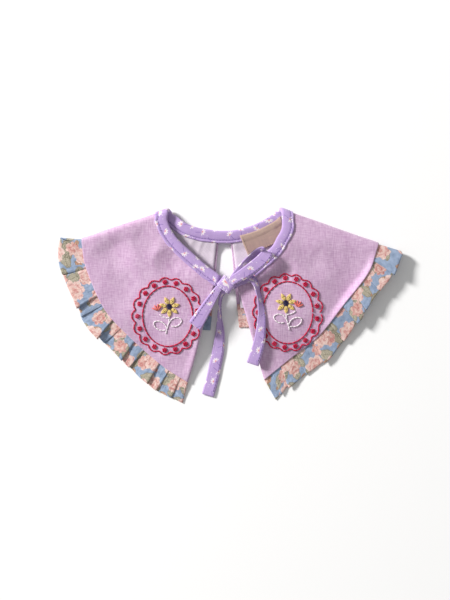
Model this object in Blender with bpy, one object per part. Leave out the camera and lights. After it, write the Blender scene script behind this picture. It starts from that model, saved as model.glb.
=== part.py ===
"""A child's cloth collar with two pointed front flaps, laid flat and folded at the shoulders.

Each half is one folded panel of cloth with a lining inside it and a gathered ruffle in its outer seam.
One length of folded tape binds the neckline, and its two ends are tied in a bow at the centre front.
Metres, +Z up. The collar lies on Z = 0, with its front on top and its points towards -Y.
"""

from dataclasses import dataclass
from math import cos, pi, radians, sin
from typing import NamedTuple

import bpy
from mathutils import Quaternion, Vector

MM = 0.001
UP = Vector((0.0, 0.0, 1.0))

# Walls of cloth, and the clearance between pieces that touch
panel_wall = 1.0 * MM
lining_wall = 1.0 * MM
ruffle_wall = 1.0 * MM
binding_wall = 1.0 * MM
label_wall = 1.0 * MM
tie_thickness = 1.8 * MM
clearance = 0.3 * MM

# Neckline: half the width between the two shoulder tips, and how far it dips in front and behind
neck_half_width = 55.5 * MM
front_neck_drop = 67.0 * MM
back_neck_drop = 22.0 * MM
binding_width = 12.0 * MM

# Panels: sideways reach of each half, and depths below the shoulder tips
left_reach = 142.4 * MM
right_reach = 154.6 * MM
front_depth = 174.0 * MM
back_depth = 104.0 * MM
seam_allowance = 4.0 * MM

# Ruffle: its width past the seam, and how far its folds stand up
ruffle_width = 23.0 * MM
turn_reach = 26.0 * MM
left_fold_rise = 5.0 * MM
right_fold_rise = 3.2 * MM
back_fold_rise = 3.0 * MM

# Shoulder fold: how far the roll reaches outwards, and the clear space that it leaves over the back folds
roll_reach = 5.5 * MM
space_over_folds = 3.5 * MM

# Bow
tie_width = 12.5 * MM
knot_length = 17.0 * MM
knot_height = 6.4 * MM
knot_direction = radians(-40.0)
loop_reach = 54.0 * MM
loop_height = 7.0 * MM
left_tail_reach = 113.0 * MM
right_tail_reach = 84.0 * MM
knot_across = 2.0 * MM
knot_down = 76.0 * MM

# Label, sewn over the lower edge of the binding at the back
label_length = 45.0 * MM
label_depth = 21.0 * MM
label_across = 15.2 * MM
label_down = 27.6 * MM
label_slant = radians(23.5)
label_steps = 9

# Steps of the cloth grid
front_steps = 11
roll_steps = 6
back_steps = 8
cloth_rows = (0.0, 0.12, 0.3, 0.5, 0.66, 0.8, 0.92, 1.0)
samples_per_fold = 7
ruffle_rows = (0.0, 0.22, 0.58, 1.0)

# Heights that follow from the layers
layers = panel_wall + clearance + lining_wall
seam_layers = layers + clearance + ruffle_wall
binding_out = clearance + binding_wall
ruffle_depth = panel_wall + clearance + ruffle_wall / 2
layer_gap = back_fold_rise + space_over_folds
front_top = 2 * layers + layer_gap
front_rest = seam_layers + clearance / 2
neck_top = front_rest + 0.93 * (front_top - front_rest)


class Turn(NamedTuple):
    """A point of an outline, as shares of the widths and depths that it follows."""

    across: float
    down: float


class Loft(NamedTuple):
    """How high the front flap lies on one line from neck to seam: 0 rests on the floor and 1 is the shoulder."""

    way: float
    neck: float
    seam: float
    falls_from: float
    ruffle: float


class Fold(NamedTuple):
    """One gathered fold: where its crest meets the seam, its height and its lean, as shares."""

    at: float
    rise: float
    lean: float


class Dent(NamedTuple):
    """A soft hollow in a front flap: its place, its half width and its depth in shares of the space below."""

    way: float
    share: float
    spread: float
    depth: float


class Bend(NamedTuple):
    """A point of a tie: how far out along its direction, how far beside it, its lift and its width, as shares."""

    out: float
    side: float
    lift: float
    width: float


@dataclass
class Half:
    """One half of the collar. Its side is -1 on the left and 1 on the right."""

    name: str
    side: int
    reach: float
    fold_rise: float
    shoulder_turn: float
    point_turn: float
    neck_front: list
    neck_back: list
    seam_front: list
    seam_back: list
    dents: list
    front_folds: list
    back_folds: list


# The front flaps lie over the back, then fall to the floor towards their points
lofts = [
    Loft(0.00, 0.93, 0.00, 0.52, 0.00),
    Loft(0.30, 0.96, 0.06, 0.60, 0.00),
    Loft(0.50, 0.99, 0.62, 0.70, 0.30),
    Loft(0.70, 1.00, 0.90, 0.75, 0.86),
    Loft(1.00, 1.00, 1.00, 0.80, 1.00),
]

left = Half(
    name="left",
    side=-1,
    reach=left_reach,
    fold_rise=left_fold_rise,
    shoulder_turn=radians(18.0),
    point_turn=radians(-2.0),
    neck_front=[
        Turn(1.01, 0.087),
        Turn(1.02, 0.18),
        Turn(0.936, 0.34),
        Turn(0.765, 0.516),
        Turn(0.34, 0.833),
        Turn(0.123, 0.967),
    ],
    neck_back=[
        Turn(0.922, 0.232),
        Turn(0.772, 0.514),
        Turn(0.628, 0.723),
        Turn(0.414, 0.89),
        Turn(0.094, 1.0),
    ],
    seam_front=[
        Turn(0.998, 0.2),
        Turn(0.969, 0.341),
        Turn(0.845, 0.572),
        Turn(0.679, 0.728),
        Turn(0.448, 0.897),
        Turn(0.257, 1.0),
    ],
    seam_back=[
        Turn(0.972, 0.327),
        Turn(0.873, 0.556),
        Turn(0.698, 0.748),
        Turn(0.48, 0.883),
        Turn(0.276, 0.95),
        Turn(0.087, 0.985),
    ],
    dents=[
        Dent(0.82, 0.30, 0.16, 0.16),
        Dent(0.55, 0.22, 0.14, 0.12),
        Dent(0.70, 0.66, 0.16, 0.10),
    ],
    front_folds=[
        Fold(0.045, 0.5, 1.0),
        Fold(0.10, 0.7, 1.2),
        Fold(0.16, 0.9, 1.4),
        Fold(0.22, 0.9, 1.3),
        Fold(0.29, 1.0, 1.5),
        Fold(0.37, 1.0, 1.6),
        Fold(0.45, 0.7, 1.2),
        Fold(0.53, 1.0, 1.5),
        Fold(0.605, 1.0, 1.6),
        Fold(0.735, 0.8, 1.4),
        Fold(0.875, 0.8, 1.2),
    ],
    back_folds=[
        Fold(0.10, 0.5, 0.8),
        Fold(0.22, 0.8, 1.2),
        Fold(0.34, 1.0, 1.3),
        Fold(0.46, 0.9, 1.3),
        Fold(0.58, 1.0, 1.3),
        Fold(0.70, 0.9, 1.3),
        Fold(0.82, 1.0, 1.3),
        Fold(0.91, 0.9, 1.3),
        Fold(0.97, 0.7, 1.0),
    ],
)

right = Half(
    name="right",
    side=1,
    reach=right_reach,
    fold_rise=right_fold_rise,
    shoulder_turn=radians(2.0),
    point_turn=radians(13.0),
    neck_front=[
        Turn(1.03, 0.084),
        Turn(1.03, 0.29),
        Turn(0.94, 0.437),
        Turn(0.815, 0.6),
        Turn(0.382, 0.907),
        Turn(0.184, 0.997),
    ],
    neck_back=[
        Turn(0.9, 0.186),
        Turn(0.797, 0.386),
        Turn(0.531, 0.723),
        Turn(0.264, 0.927),
        Turn(0.104, 1.0),
    ],
    seam_front=[
        Turn(0.987, 0.229),
        Turn(0.931, 0.368),
        Turn(0.778, 0.545),
        Turn(0.61, 0.734),
        Turn(0.418, 0.87),
        Turn(0.26, 0.985),
    ],
    seam_back=[
        Turn(0.986, 0.37),
        Turn(0.877, 0.575),
        Turn(0.716, 0.748),
        Turn(0.522, 0.873),
        Turn(0.295, 0.94),
        Turn(0.085, 0.96),
    ],
    dents=[
        Dent(0.50, 0.26, 0.14, 0.18),
        Dent(0.78, 0.55, 0.18, 0.12),
    ],
    front_folds=[
        Fold(0.06, 0.8, 0.9),
        Fold(0.13, 1.0, 1.2),
        Fold(0.235, 0.6, 0.9),
        Fold(0.36, 0.8, 1.0),
        Fold(0.49, 0.5, 0.8),
        Fold(0.62, 0.7, 1.0),
        Fold(0.72, 1.0, 1.3),
        Fold(0.83, 0.6, 0.8),
        Fold(0.935, 0.9, 1.1),
    ],
    back_folds=[
        Fold(0.09, 0.5, 0.8),
        Fold(0.21, 0.8, 1.2),
        Fold(0.33, 1.0, 1.3),
        Fold(0.45, 0.9, 1.3),
        Fold(0.57, 1.0, 1.3),
        Fold(0.69, 0.9, 1.3),
        Fold(0.81, 0.8, 1.2),
        Fold(0.93, 0.5, 0.9),
    ],
)

# Right loop: out along its lower layer, round the tip, and back to the knot along its upper layer
right_loop_direction = radians(34.0)
right_loop_bends = [
    Bend(0.17, 0.00, 0.34, 0.70),
    Bend(0.30, 0.14, 0.34, 0.84),
    Bend(0.55, 0.36, 0.32, 0.96),
    Bend(0.80, 0.54, 0.28, 1.0),
    Bend(0.94, 0.50, 0.34, 1.0),
    Bend(1.00, 0.38, 0.62, 1.0),
    Bend(0.95, 0.20, 0.98, 1.0),
    Bend(0.80, 0.06, 1.08, 1.0),
    Bend(0.58, -0.04, 1.02, 0.96),
    Bend(0.32, -0.08, 0.84, 0.84),
    Bend(0.17, 0.00, 0.72, 0.70),
]

# Left loop: it lies flat and ends in a soft crease
left_loop_direction = radians(232.8)
left_loop_bends = [
    Bend(0.18, -0.30, 0.00, 0.60),
    Bend(0.30, -0.25, -0.04, 0.70),
    Bend(0.56, -0.16, -0.12, 0.93),
    Bend(0.84, -0.06, -0.15, 1.10),
    Bend(0.93, -0.03, -0.12, 1.14),
    Bend(0.955, -0.03, 0.06, 1.14),
    Bend(0.93, -0.03, 0.25, 1.14),
    Bend(0.82, -0.06, 0.30, 1.10),
    Bend(0.56, -0.16, 0.36, 0.93),
    Bend(0.30, -0.25, 0.40, 0.70),
    Bend(0.18, -0.30, 0.42, 0.60),
]

# Left tail: it is creased lengthwise at the knot, and drops through the gap in front to the floor
left_tail_direction = radians(260.5)
left_tail_bends = [
    Bend(0.084, -0.17, 1.02, 0.40),
    Bend(0.126, -0.28, 0.96, 0.30),
    Bend(0.206, -0.24, 0.74, 0.27),
    Bend(0.302, -0.10, 0.44, 0.42),
    Bend(0.433, 0.13, 0.16, 0.74),
    Bend(0.583, 0.23, 0.02, 0.95),
    Bend(0.718, 0.20, 0.00, 1.0),
    Bend(0.854, 0.15, 0.00, 1.0),
    Bend(1.0, 0.0, 0.00, 1.0),
]

# Right tail: it runs out under the right loop, then turns down over the right flap
right_tail_direction = radians(288.2)
right_tail_bends = [
    Bend(0.020, 0.80, 0.20, 0.50),
    Bend(0.005, 1.38, 0.20, 0.50),
    Bend(0.016, 1.99, 0.20, 0.45),
    Bend(0.074, 2.29, 0.18, 0.36),
    Bend(0.181, 2.29, 0.12, 0.30),
    Bend(0.313, 2.18, 0.07, 0.34),
    Bend(0.466, 1.97, 0.05, 0.54),
    Bend(0.643, 1.49, 0.05, 0.78),
    Bend(0.823, 0.82, -0.04, 0.95),
    Bend(1.0, 0.0, -0.34, 1.0),
]


def smoothstep(share):
    share = min(max(share, 0.0), 1.0)
    return share * share * (3 - 2 * share)


def blend(a, b, share):
    return a + (b - a) * share


def smooth_line(knots, steps=10):
    """Points of a smooth curve through the knots."""
    knots = [2 * knots[0] - knots[1], *knots, 2 * knots[-1] - knots[-2]]
    points = []
    for before, start, end, after in zip(knots, knots[1:], knots[2:], knots[3:]):
        for step in range(steps):
            t = step / steps
            points.append(
                0.5
                * (
                    2 * start
                    + (end - before) * t
                    + (2 * before - 5 * start + 4 * end - after) * t * t
                    + (3 * start - before - 3 * end + after) * t**3
                )
            )
    return [*points, knots[-2]]


def lengths_of(points):
    total, lengths = 0.0, [0.0]
    for start, end in zip(points, points[1:]):
        total += (end - start).length
        lengths.append(total)
    return lengths


def place_at(lengths, distance):
    """The index that a distance along a line falls at, with its fraction."""
    distance = min(max(distance, 0.0), lengths[-1])
    for index, (start, end) in enumerate(zip(lengths, lengths[1:])):
        if distance <= end:
            return index + (distance - start) / max(end - start, 1e-12)
    return float(len(lengths) - 1)


def pick(values, place):
    """The value at a place between two entries of a list."""
    index = min(int(place), len(values) - 2)
    return blend(values[index], values[index + 1], place - index)


def spaced(points, count):
    """The curve through the points, at count + 1 even distances."""
    lengths = lengths_of(points)
    return [pick(points, place_at(lengths, lengths[-1] * n / count)) for n in range(count + 1)]


def on_table(half, across, down):
    """A point at this distance from the centre line and below the shoulder tips."""
    return Vector((half.side * across, -down, 0.0))


def outline(half, turns, width, depth, steps):
    knots = [on_table(half, turn.across * width, turn.down * depth) for turn in turns]
    return spaced(smooth_line(knots), steps)


def front_heights(half, way, share):
    """Height of the front flap's outer face, at this way from centre front to shoulder and share from neck to seam."""
    before = max((row for row in lofts if row.way <= way), key=lambda row: row.way)
    after = min((row for row in lofts if row.way >= way), key=lambda row: row.way)
    between = (way - before.way) / max(after.way - before.way, 1e-9)
    neck, seam, falls_from = (
        blend(before[column], after[column], between) for column in (1, 2, 3)
    )
    fall = smoothstep((share - falls_from) / (1 - falls_from))
    lift = blend(neck, seam, fall)
    for dent in half.dents:
        away = ((way - dent.way) ** 2 + (share - dent.share) ** 2) / dent.spread**2
        lift -= dent.depth * smoothstep(1 - away)
    return blend(front_rest, front_top, lift)


def back_height(distance):
    """Height of the back's outer face: it lies on the floor, and the binding lifts it at the neckline."""
    lifted = binding_out + clearance / 2
    return lifted * (1 - smoothstep((distance - binding_width) / binding_width))


def neck_slant(neck, seam, index):
    """Cosine of the angle between a line of the grid and the square of the neckline."""
    tangent = neck[min(index + 1, len(neck) - 1)] - neck[max(index - 1, 0)]
    rung = (seam[index] - neck[index]).normalized()
    return (rung - rung.project(tangent)).length


class Skin:
    """The outer face of one half as a grid: stations from centre front over the shoulder to centre back."""

    def __init__(self, half):
        self.half = half
        self.stations = []
        fold_in = self.add_front()
        self.add_back(fold_in)
        self.grid = [[self.point(s, share) for share in cloth_rows] for s in self.stations]
        self.normals = self.normals_of(self.grid)

    def add_front(self):
        half = self.half
        neck = outline(half, half.neck_front, neck_half_width, front_neck_drop, front_steps)
        seam = outline(half, half.seam_front, half.reach, front_depth, front_steps)
        neck.reverse()
        seam.reverse()
        for index in range(front_steps + 1):
            slant = neck_slant(neck, seam, index)
            self.stations.append(("front", index / front_steps, neck[index], seam[index], slant))
        return neck[-1], seam[-1]

    def add_back(self, fold_in):
        half = self.half
        neck = outline(half, half.neck_back, neck_half_width, back_neck_drop, back_steps)
        seam = outline(half, half.seam_back, half.reach, back_depth, back_steps)
        slant = neck_slant(neck, seam, 0)
        for step in range(1, roll_steps):
            share = step / roll_steps
            base = blend(fold_in[0], neck[0], share), blend(fold_in[1], seam[0], share)
            self.stations.append(("roll", share, *base, slant))
        for index in range(back_steps + 1):
            slant = neck_slant(neck, seam, index)
            self.stations.append(("back", index / back_steps, neck[index], seam[index], slant))

    def point(self, station, share, from_fold=None):
        """A point of the outer face. from_fold is a distance from the neckline's fold, instead of a share."""
        kind, way, neck, seam, slant = station
        rung = seam - neck
        edge = (binding_wall + clearance) / slant
        if from_fold is None:
            distance = blend(edge, rung.length, share)
        else:
            distance = from_fold / slant
        along = (distance - edge) / (rung.length - edge)
        place = neck + rung * (distance / rung.length)
        front = front_heights(self.half, way if kind == "front" else 1.0, along)
        back = back_height(distance)
        if kind == "front":
            return place + UP * front
        if kind == "back":
            return place + UP * back
        angle = pi * (0.5 - way)
        outwards = Vector((-rung.y, rung.x, 0.0)).normalized() * self.half.side
        height = (front + back) / 2 + (front - back) / 2 * sin(angle)
        return place + outwards * roll_reach * cos(angle) + UP * height

    def normals_of(self, grid):
        """Unit normals of a grid, pointing out of the cloth."""
        rows, columns = len(grid), len(grid[0])
        normals = []
        for i in range(rows):
            line = []
            for j in range(columns):
                down = grid[min(i + 1, rows - 1)][j] - grid[max(i - 1, 0)][j]
                across = grid[i][min(j + 1, columns - 1)] - grid[i][max(j - 1, 0)]
                line.append((down.cross(across) * -self.half.side).normalized())
            normals.append(line)
        return normals

    def station_normal(self, index):
        return self.normals[index][1]


def slab(outer, inner, faces_out):
    """Points and faces of a closed wall between two grids of the same size."""
    rows, columns = len(outer), len(outer[0])
    points = [p for line in outer for p in line] + [p for line in inner for p in line]
    below = rows * columns

    def at(i, j):
        return i * columns + j

    faces = []
    for i in range(rows - 1):
        for j in range(columns - 1):
            a, b, c, d = at(i, j), at(i + 1, j), at(i + 1, j + 1), at(i, j + 1)
            for face in ((a, b, c), (a, c, d)):
                faces.append(face)
                faces.append(tuple(below + n for n in reversed(face)))
    rim = [at(i, 0) for i in range(rows)]
    rim += [at(rows - 1, j) for j in range(1, columns)]
    rim += [at(i, columns - 1) for i in range(rows - 2, -1, -1)]
    rim += [at(0, j) for j in range(columns - 2, 0, -1)]
    for start, end in zip(rim, rim[1:] + rim[:1]):
        faces.append((end, start, below + start, below + end))
    if not faces_out:
        faces = [tuple(reversed(face)) for face in faces]
    return points, faces


def add_object(name, points, faces, finish):
    mesh = bpy.data.meshes.new(name)
    mesh.from_pydata([tuple(p) for p in points], [], faces)
    mesh.update()
    mesh.materials.append(finish)
    mesh.shade_smooth()
    mesh.set_sharp_from_angle(angle=radians(50))
    made = bpy.data.objects.new(name, mesh)
    bpy.context.scene.collection.objects.link(made)
    return made


def finish_of(name, colour, roughness):
    made = bpy.data.materials.new(name)
    made.use_nodes = True
    shader = made.node_tree.nodes["Principled BSDF"]
    shader.inputs["Base Color"].default_value = (*colour, 1.0)
    shader.inputs["Roughness"].default_value = roughness
    shader.inputs["Metallic"].default_value = 0.0
    return made


def offset_grid(skin, depth_at):
    """The grid moved into the cloth by a depth that depends on the row."""
    return [
        [point - normal * depth_at(share) for point, normal, share in zip(line, normals, cloth_rows)]
        for line, normals in zip(skin.grid, skin.normals)
    ]


def make_panel(skin, finish):
    inner = offset_grid(skin, lambda share: panel_wall)
    points, faces = slab(skin.grid, inner, skin.half.side < 0)
    return add_object(f"{skin.half.name}_panel", points, faces, finish)


def lining_depth(share):
    """The lining lies on the panel, and the ruffle's header parts them at the outer seam."""
    parted = smoothstep((share - cloth_rows[-3]) / (cloth_rows[-2] - cloth_rows[-3]))
    return panel_wall + clearance + (ruffle_wall + clearance) * parted


def make_lining(skin, finish):
    outer = offset_grid(skin, lining_depth)
    inner = offset_grid(skin, lambda share: lining_depth(share) + lining_wall)
    points, faces = slab(outer, inner, skin.half.side < 0)
    return add_object(f"{skin.half.name}_lining", points, faces, finish)


def gathers(folds, length, rise):
    """Samples along a gathered strip, as (distance along the seam, lift, lean)."""
    crests = [(fold.at * length, fold.rise * rise, fold.lean) for fold in folds]
    half_fold = samples_per_fold // 2
    samples = []
    for step in range(half_fold):
        share = step / half_fold
        lift = crests[0][1] * (1 - cos(pi * share)) / 2
        samples.append((crests[0][0] * share, lift, crests[0][2]))
    for start, end in zip(crests, crests[1:]):
        for step in range(samples_per_fold):
            share = step / samples_per_fold
            lift = blend(start[1], end[1], share) * (1 + cos(2 * pi * share)) / 2
            samples.append((blend(start[0], end[0], share), lift, blend(start[2], end[2], share)))
    for step in range(half_fold + 1):
        share = step / half_fold
        lift = crests[-1][1] * (1 + cos(pi * share)) / 2
        samples.append((blend(crests[-1][0], length, share), lift, crests[-1][2]))
    return samples


class Seam:
    """The line where the ruffle leaves the panel, with its directions and the header's inner line."""

    def __init__(self, skin):
        self.skin = skin
        last, before = len(cloth_rows) - 1, len(cloth_rows) - 2
        self.line, self.header, self.up, self.out = [], [], [], []
        count = len(skin.grid)
        for i in range(count):
            normal = skin.normals[i][last]
            edge = skin.grid[i][last] - normal * ruffle_depth
            inside = skin.grid[i][before] - skin.normals[i][before] * ruffle_depth
            rung = (edge - inside).normalized()
            tangent = skin.grid[min(i + 1, count - 1)][last] - skin.grid[max(i - 1, 0)][last]
            square = (rung - rung.project(tangent)).normalized()
            ends = min(i, count - 1 - i)
            share = 0.75 if ends > 1 else 0.75 * ends / 2
            self.line.append(edge)
            self.header.append(edge - rung * seam_allowance)
            self.up.append(normal)
            self.out.append(blend(rung, square, share).normalized())
        self.lengths = lengths_of(self.line)
        self.turn_ends()

    def turn_ends(self):
        """At the shoulder's fold and at the front point the ruffle lies turned a little aside."""
        half = self.skin.half
        for i, out in enumerate(self.out):
            before = max(self.lengths[front_steps] - self.lengths[i], 0.0)
            behind = max(self.lengths[i] - self.lengths[front_steps + roll_steps], 0.0)
            turn = half.shoulder_turn * smoothstep(1 - max(before, behind) / turn_reach)
            turn += half.point_turn * smoothstep(1 - self.lengths[i] / turn_reach)
            out.rotate(Quaternion(UP, half.side * turn))

    def part_length(self, first, last):
        return self.lengths[last] - self.lengths[first]


def ruffle_drop(half, way_from_front):
    """Height of the front ruffle's free edge over the floor, as a share."""
    before = max((row for row in lofts if row.way <= way_from_front), key=lambda row: row.way)
    after = min((row for row in lofts if row.way >= way_from_front), key=lambda row: row.way)
    between = (way_from_front - before.way) / max(after.way - before.way, 1e-9)
    return blend(before.ruffle, after.ruffle, between)


def ruffle_samples(skin, seam):
    """The gathers in front, the roll's own stations, and the gathers behind."""
    half = skin.half
    roll_end = front_steps + roll_steps
    front_length = seam.part_length(0, front_steps)
    back_start = seam.lengths[roll_end]
    back_length = seam.lengths[-1] - back_start
    front = gathers(half.front_folds, front_length, half.fold_rise)
    middle = [(seam.lengths[i], 0.0, 0.0) for i in range(front_steps + 1, roll_end)]
    behind = gathers(half.back_folds, back_length, back_fold_rise)
    back = [(back_start + at, lift, lean) for at, lift, lean in behind]
    return front, middle, back


def ruffle_lines(skin, seam):
    """Middle surface of the ruffle, a line of points for each sample."""
    half = skin.half
    front, middle, back = ruffle_samples(skin, seam)
    front_length = seam.part_length(0, front_steps)
    floor = ruffle_wall / 2 + clearance / 2
    lines = []
    for zone, samples in (("front", front), ("roll", middle), ("back", back)):
        for at, lift, lean in samples:
            place = place_at(seam.lengths, at)
            base, up, out = pick(seam.line, place), pick(seam.up, place), pick(seam.out, place)
            line = [pick(seam.header, place)]
            for share in ruffle_rows:
                stand = lift * smoothstep(0.15 + 0.85 * share) if share > 0 else 0.0
                slide = pick(seam.line, place_at(seam.lengths, at - lean * stand)) - base
                point = base + slide + out.normalized() * ruffle_width * share
                if zone == "front":
                    edge = blend(floor, front_top - ruffle_depth, ruffle_drop(half, at / front_length))
                    edge = min(edge, base.z)
                elif zone == "back":
                    edge = floor
                else:
                    edge = base.z
                    roll_share = (place - front_steps) / roll_steps
                    edge = blend(base.z, floor, roll_share**3)
                point.z = blend(base.z, edge, smoothstep(share)) + stand
                line.append(point)
            lines.append(line)
    return lines


def line_normals(lines, side):
    rows, columns = len(lines), len(lines[0])
    normals = []
    for i in range(rows):
        line = []
        for j in range(columns):
            down = lines[min(i + 1, rows - 1)][j] - lines[max(i - 1, 0)][j]
            across = lines[i][min(j + 1, columns - 1)] - lines[i][max(j - 1, 0)]
            line.append((down.cross(across) * -side).normalized())
        normals.append(line)
    return normals


def make_ruffle(skin, finish):
    lines = ruffle_lines(skin, Seam(skin))
    normals = line_normals(lines, skin.half.side)
    shifted = [
        [
            [point + normal * ruffle_wall / 2 * way for point, normal in zip(line, ups)]
            for line, ups in zip(lines, normals)
        ]
        for way in (1, -1)
    ]
    points, faces = slab(shifted[0], shifted[1], skin.half.side < 0)
    return add_object(f"{skin.half.name}_ruffle", points, faces, finish)


def binding_section():
    """The folded tape in section, as (distance from its fold, height over the panel's outer face)."""
    top, bottom = binding_out, -layers - binding_out
    soft = binding_wall
    inside = binding_wall
    return [
        (binding_width, clearance),
        (binding_width, top),
        (soft, top),
        (0.3 * soft, top - 0.3 * soft),
        (0.0, top - soft),
        (0.0, bottom + soft),
        (0.3 * soft, bottom + 0.3 * soft),
        (soft, bottom),
        (binding_width, bottom),
        (binding_width, bottom + binding_wall),
        (inside, bottom + binding_wall),
        (inside, clearance),
    ]


def binding_ring(skin, index):
    normal = skin.station_normal(index)
    station = skin.stations[index]
    return [
        skin.point(station, 0.0, from_fold=distance) + normal * height
        for distance, height in binding_section()
    ]


def make_binding(left_skin, right_skin, finish):
    """The neckline's tape, from one side of the knot round the back to the other."""
    count = len(left_skin.stations)
    left_rings = [binding_ring(left_skin, index) for index in range(count)]
    right_rings = [binding_ring(right_skin, index) for index in reversed(range(count))]
    middle = [
        [blend(a, b, share) for a, b in zip(left_rings[-1], right_rings[0])]
        for share in (1 / 3, 2 / 3)
    ]
    start = [blend(b, a, 1.55) for a, b in zip(left_rings[0], left_rings[1])]
    end = [blend(a, b, 1.45) for a, b in zip(right_rings[-2], right_rings[-1])]
    rings = [start, *left_rings, *middle, *right_rings, end]
    points = [point for ring in rings for point in ring]
    size = len(rings[0])
    faces = []
    for ring in range(len(rings) - 1):
        for n in range(size):
            a, b = ring * size + n, ring * size + (n + 1) % size
            faces.append((a, b, b + size, a + size))
    last = (len(rings) - 1) * size
    for first, flip in ((0, True), (last, False)):
        for quad in ((0, 1, 2, 11), (2, 3, 10, 11), (3, 4, 5, 10), (5, 6, 10, 10), (6, 7, 10, 10), (7, 8, 9, 10)):
            face = [first + n for n in dict.fromkeys(quad)]
            faces.append(tuple(reversed(face)) if flip else tuple(face))
    return add_object("neck_binding", points, faces, finish)


def direction_of(angle):
    return Vector((cos(angle), sin(angle), 0.0))


def ribbon(name, centres, widths, finish, beside=None):
    """A flat tape with soft edges, along its centre points. Its width lies level, or along a direction given."""
    rings, level = [], None
    for index, centre in enumerate(centres):
        ahead = centres[min(index + 1, len(centres) - 1)] - centres[max(index - 1, 0)]
        ahead.normalize()
        across = beside - ahead * beside.dot(ahead) if beside else ahead.cross(UP)
        if level and across.dot(level) < 0:
            across = -across
        level = across.normalized()
        thick = level.cross(ahead).normalized()
        half, rise = widths[index] / 2, tie_thickness / 2
        soft = rise * 0.8
        section = (
            (-half, 0),
            (-half + soft, rise),
            (half - soft, rise),
            (half, 0),
            (half - soft, -rise),
            (-half + soft, -rise),
        )
        rings.append([centre + level * x + thick * y for x, y in section])
    return add_object(name, *tube(rings), finish)


def tube(rings):
    """Points and faces of a closed body through rings that turn clockwise, seen from the first."""
    points = [point for ring in rings for point in ring]
    size = len(rings[0])
    faces = []
    for ring in range(len(rings) - 1):
        for n in range(size):
            a, b = ring * size + n, ring * size + (n + 1) % size
            faces.append((a, b, b + size, a + size))
    last = (len(rings) - 1) * size
    faces.append(tuple(reversed(range(size))))
    faces.append(tuple(last + n for n in range(size)))
    return points, faces


def knot_centre():
    return Vector((knot_across, -knot_down, 0.0))


def knot_base():
    """Height of the underside of the knot, over the bound neckline."""
    return neck_top + binding_out + clearance


def tie_line(bends, direction, reach, base, rise, steps):
    """Centre points and widths of a tie, evenly spaced through its bends."""
    ahead = direction_of(direction)
    beside = Vector((-ahead.y, ahead.x, 0.0))
    knots = [
        knot_centre()
        + ahead * bend.out * reach
        + beside * bend.side * tie_width
        + UP * (base + bend.lift * rise)
        for bend in bends
    ]
    fine = 8
    line = smooth_line(knots, fine)
    lengths = lengths_of(line)
    places = [place_at(lengths, lengths[-1] * step / steps) for step in range(steps + 1)]
    centres = [pick(line, place) for place in places]
    shares = [bend.width for bend in bends]
    return centres, [tie_width * pick(shares, place / fine) for place in places]


def make_knot(finish):
    """The tie wrapped round the middle of the bow."""
    ahead = direction_of(knot_direction)
    beside = Vector((-ahead.y, ahead.x, 0.0))
    middle = knot_centre() + UP * (knot_base() + knot_height / 2)
    rings = []
    for share, size in ((-1.0, 0.82), (-0.84, 1.0), (0.84, 1.0), (1.0, 0.82)):
        ring = []
        for step in range(14):
            angle = -2 * pi * step / 14
            round_out = abs(cos(angle)) ** 0.7 * (1 if cos(angle) > 0 else -1)
            round_up = abs(sin(angle)) ** 0.75 * (1 if sin(angle) > 0 else -1)
            point = middle + beside * share * tie_width / 2
            point += ahead * round_out * knot_length / 2 * size
            point += UP * round_up * knot_height / 2 * size
            ring.append(point)
        rings.append(ring)
    add_object("bow_knot", *tube(rings), finish)


def make_bow(finish):
    make_knot(finish)
    over_knot_base = knot_base() + clearance + tie_thickness / 2
    over_cloth = neck_top + clearance + tie_thickness / 2
    over_floor = tie_thickness / 2
    loops = (
        ("bow_loop_right", right_loop_bends, right_loop_direction),
        ("bow_loop_left", left_loop_bends, left_loop_direction),
    )
    for name, bends, direction in loops:
        line = tie_line(bends, direction, loop_reach, over_knot_base, loop_height, 24)
        ribbon(name, *line, finish, direction_of(direction + pi / 2))
    line = tie_line(left_tail_bends, left_tail_direction, left_tail_reach, over_floor, knot_base(), 18)
    ribbon("tie_tail_left", *line, finish)
    line = tie_line(right_tail_bends, right_tail_direction, right_tail_reach, over_cloth, loop_height, 22)
    ribbon("tie_tail_right", *line, finish)


def height_on(grid, place):
    """Height of a grid over a point of the floor."""
    for line, after in zip(grid, grid[1:]):
        for j in range(len(line) - 1):
            for a, b, c in ((line[j], after[j], after[j + 1]), (line[j], after[j + 1], line[j + 1])):
                u, v, w = b - a, c - a, place - a
                area = u.x * v.y - u.y * v.x
                if abs(area) < 1e-12:
                    continue
                s, t = (w.x * v.y - w.y * v.x) / area, (u.x * w.y - u.y * w.x) / area
                if s >= -1e-6 and t >= -1e-6 and s + t <= 1 + 1e-6:
                    return a.z + s * u.z + t * v.z
    raise ValueError("the point is off the cloth")


def make_label(skin, finish):
    """The label hangs from the back's binding and lies on the lining."""
    across = direction_of(label_slant)
    down = Vector((across.y, -across.x, 0.0))
    corner = on_table(right, label_across, label_down)
    back = offset_grid(skin, lambda share: lining_depth(share) + lining_wall)[front_steps + roll_steps :]
    neck = smooth_line([station[2] for station in skin.stations[front_steps + roll_steps :]])
    outer = []
    for step in range(label_steps + 1):
        top = corner + across * label_length * step / label_steps
        foot = top + down * label_depth
        while min((top - point).length for point in neck) < binding_width + 3 * clearance:
            top = top + down * 0.2 * MM
        line = []
        for share in (0.0, 0.33, 0.66, 1.0):
            place = blend(top, foot, share)
            line.append(place + UP * (height_on(back, place) + clearance + label_wall))
        outer.append(line)
    inner = [[point - UP * label_wall for point in line] for line in outer]
    add_object("label", *slab(outer, inner, False), finish)


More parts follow.
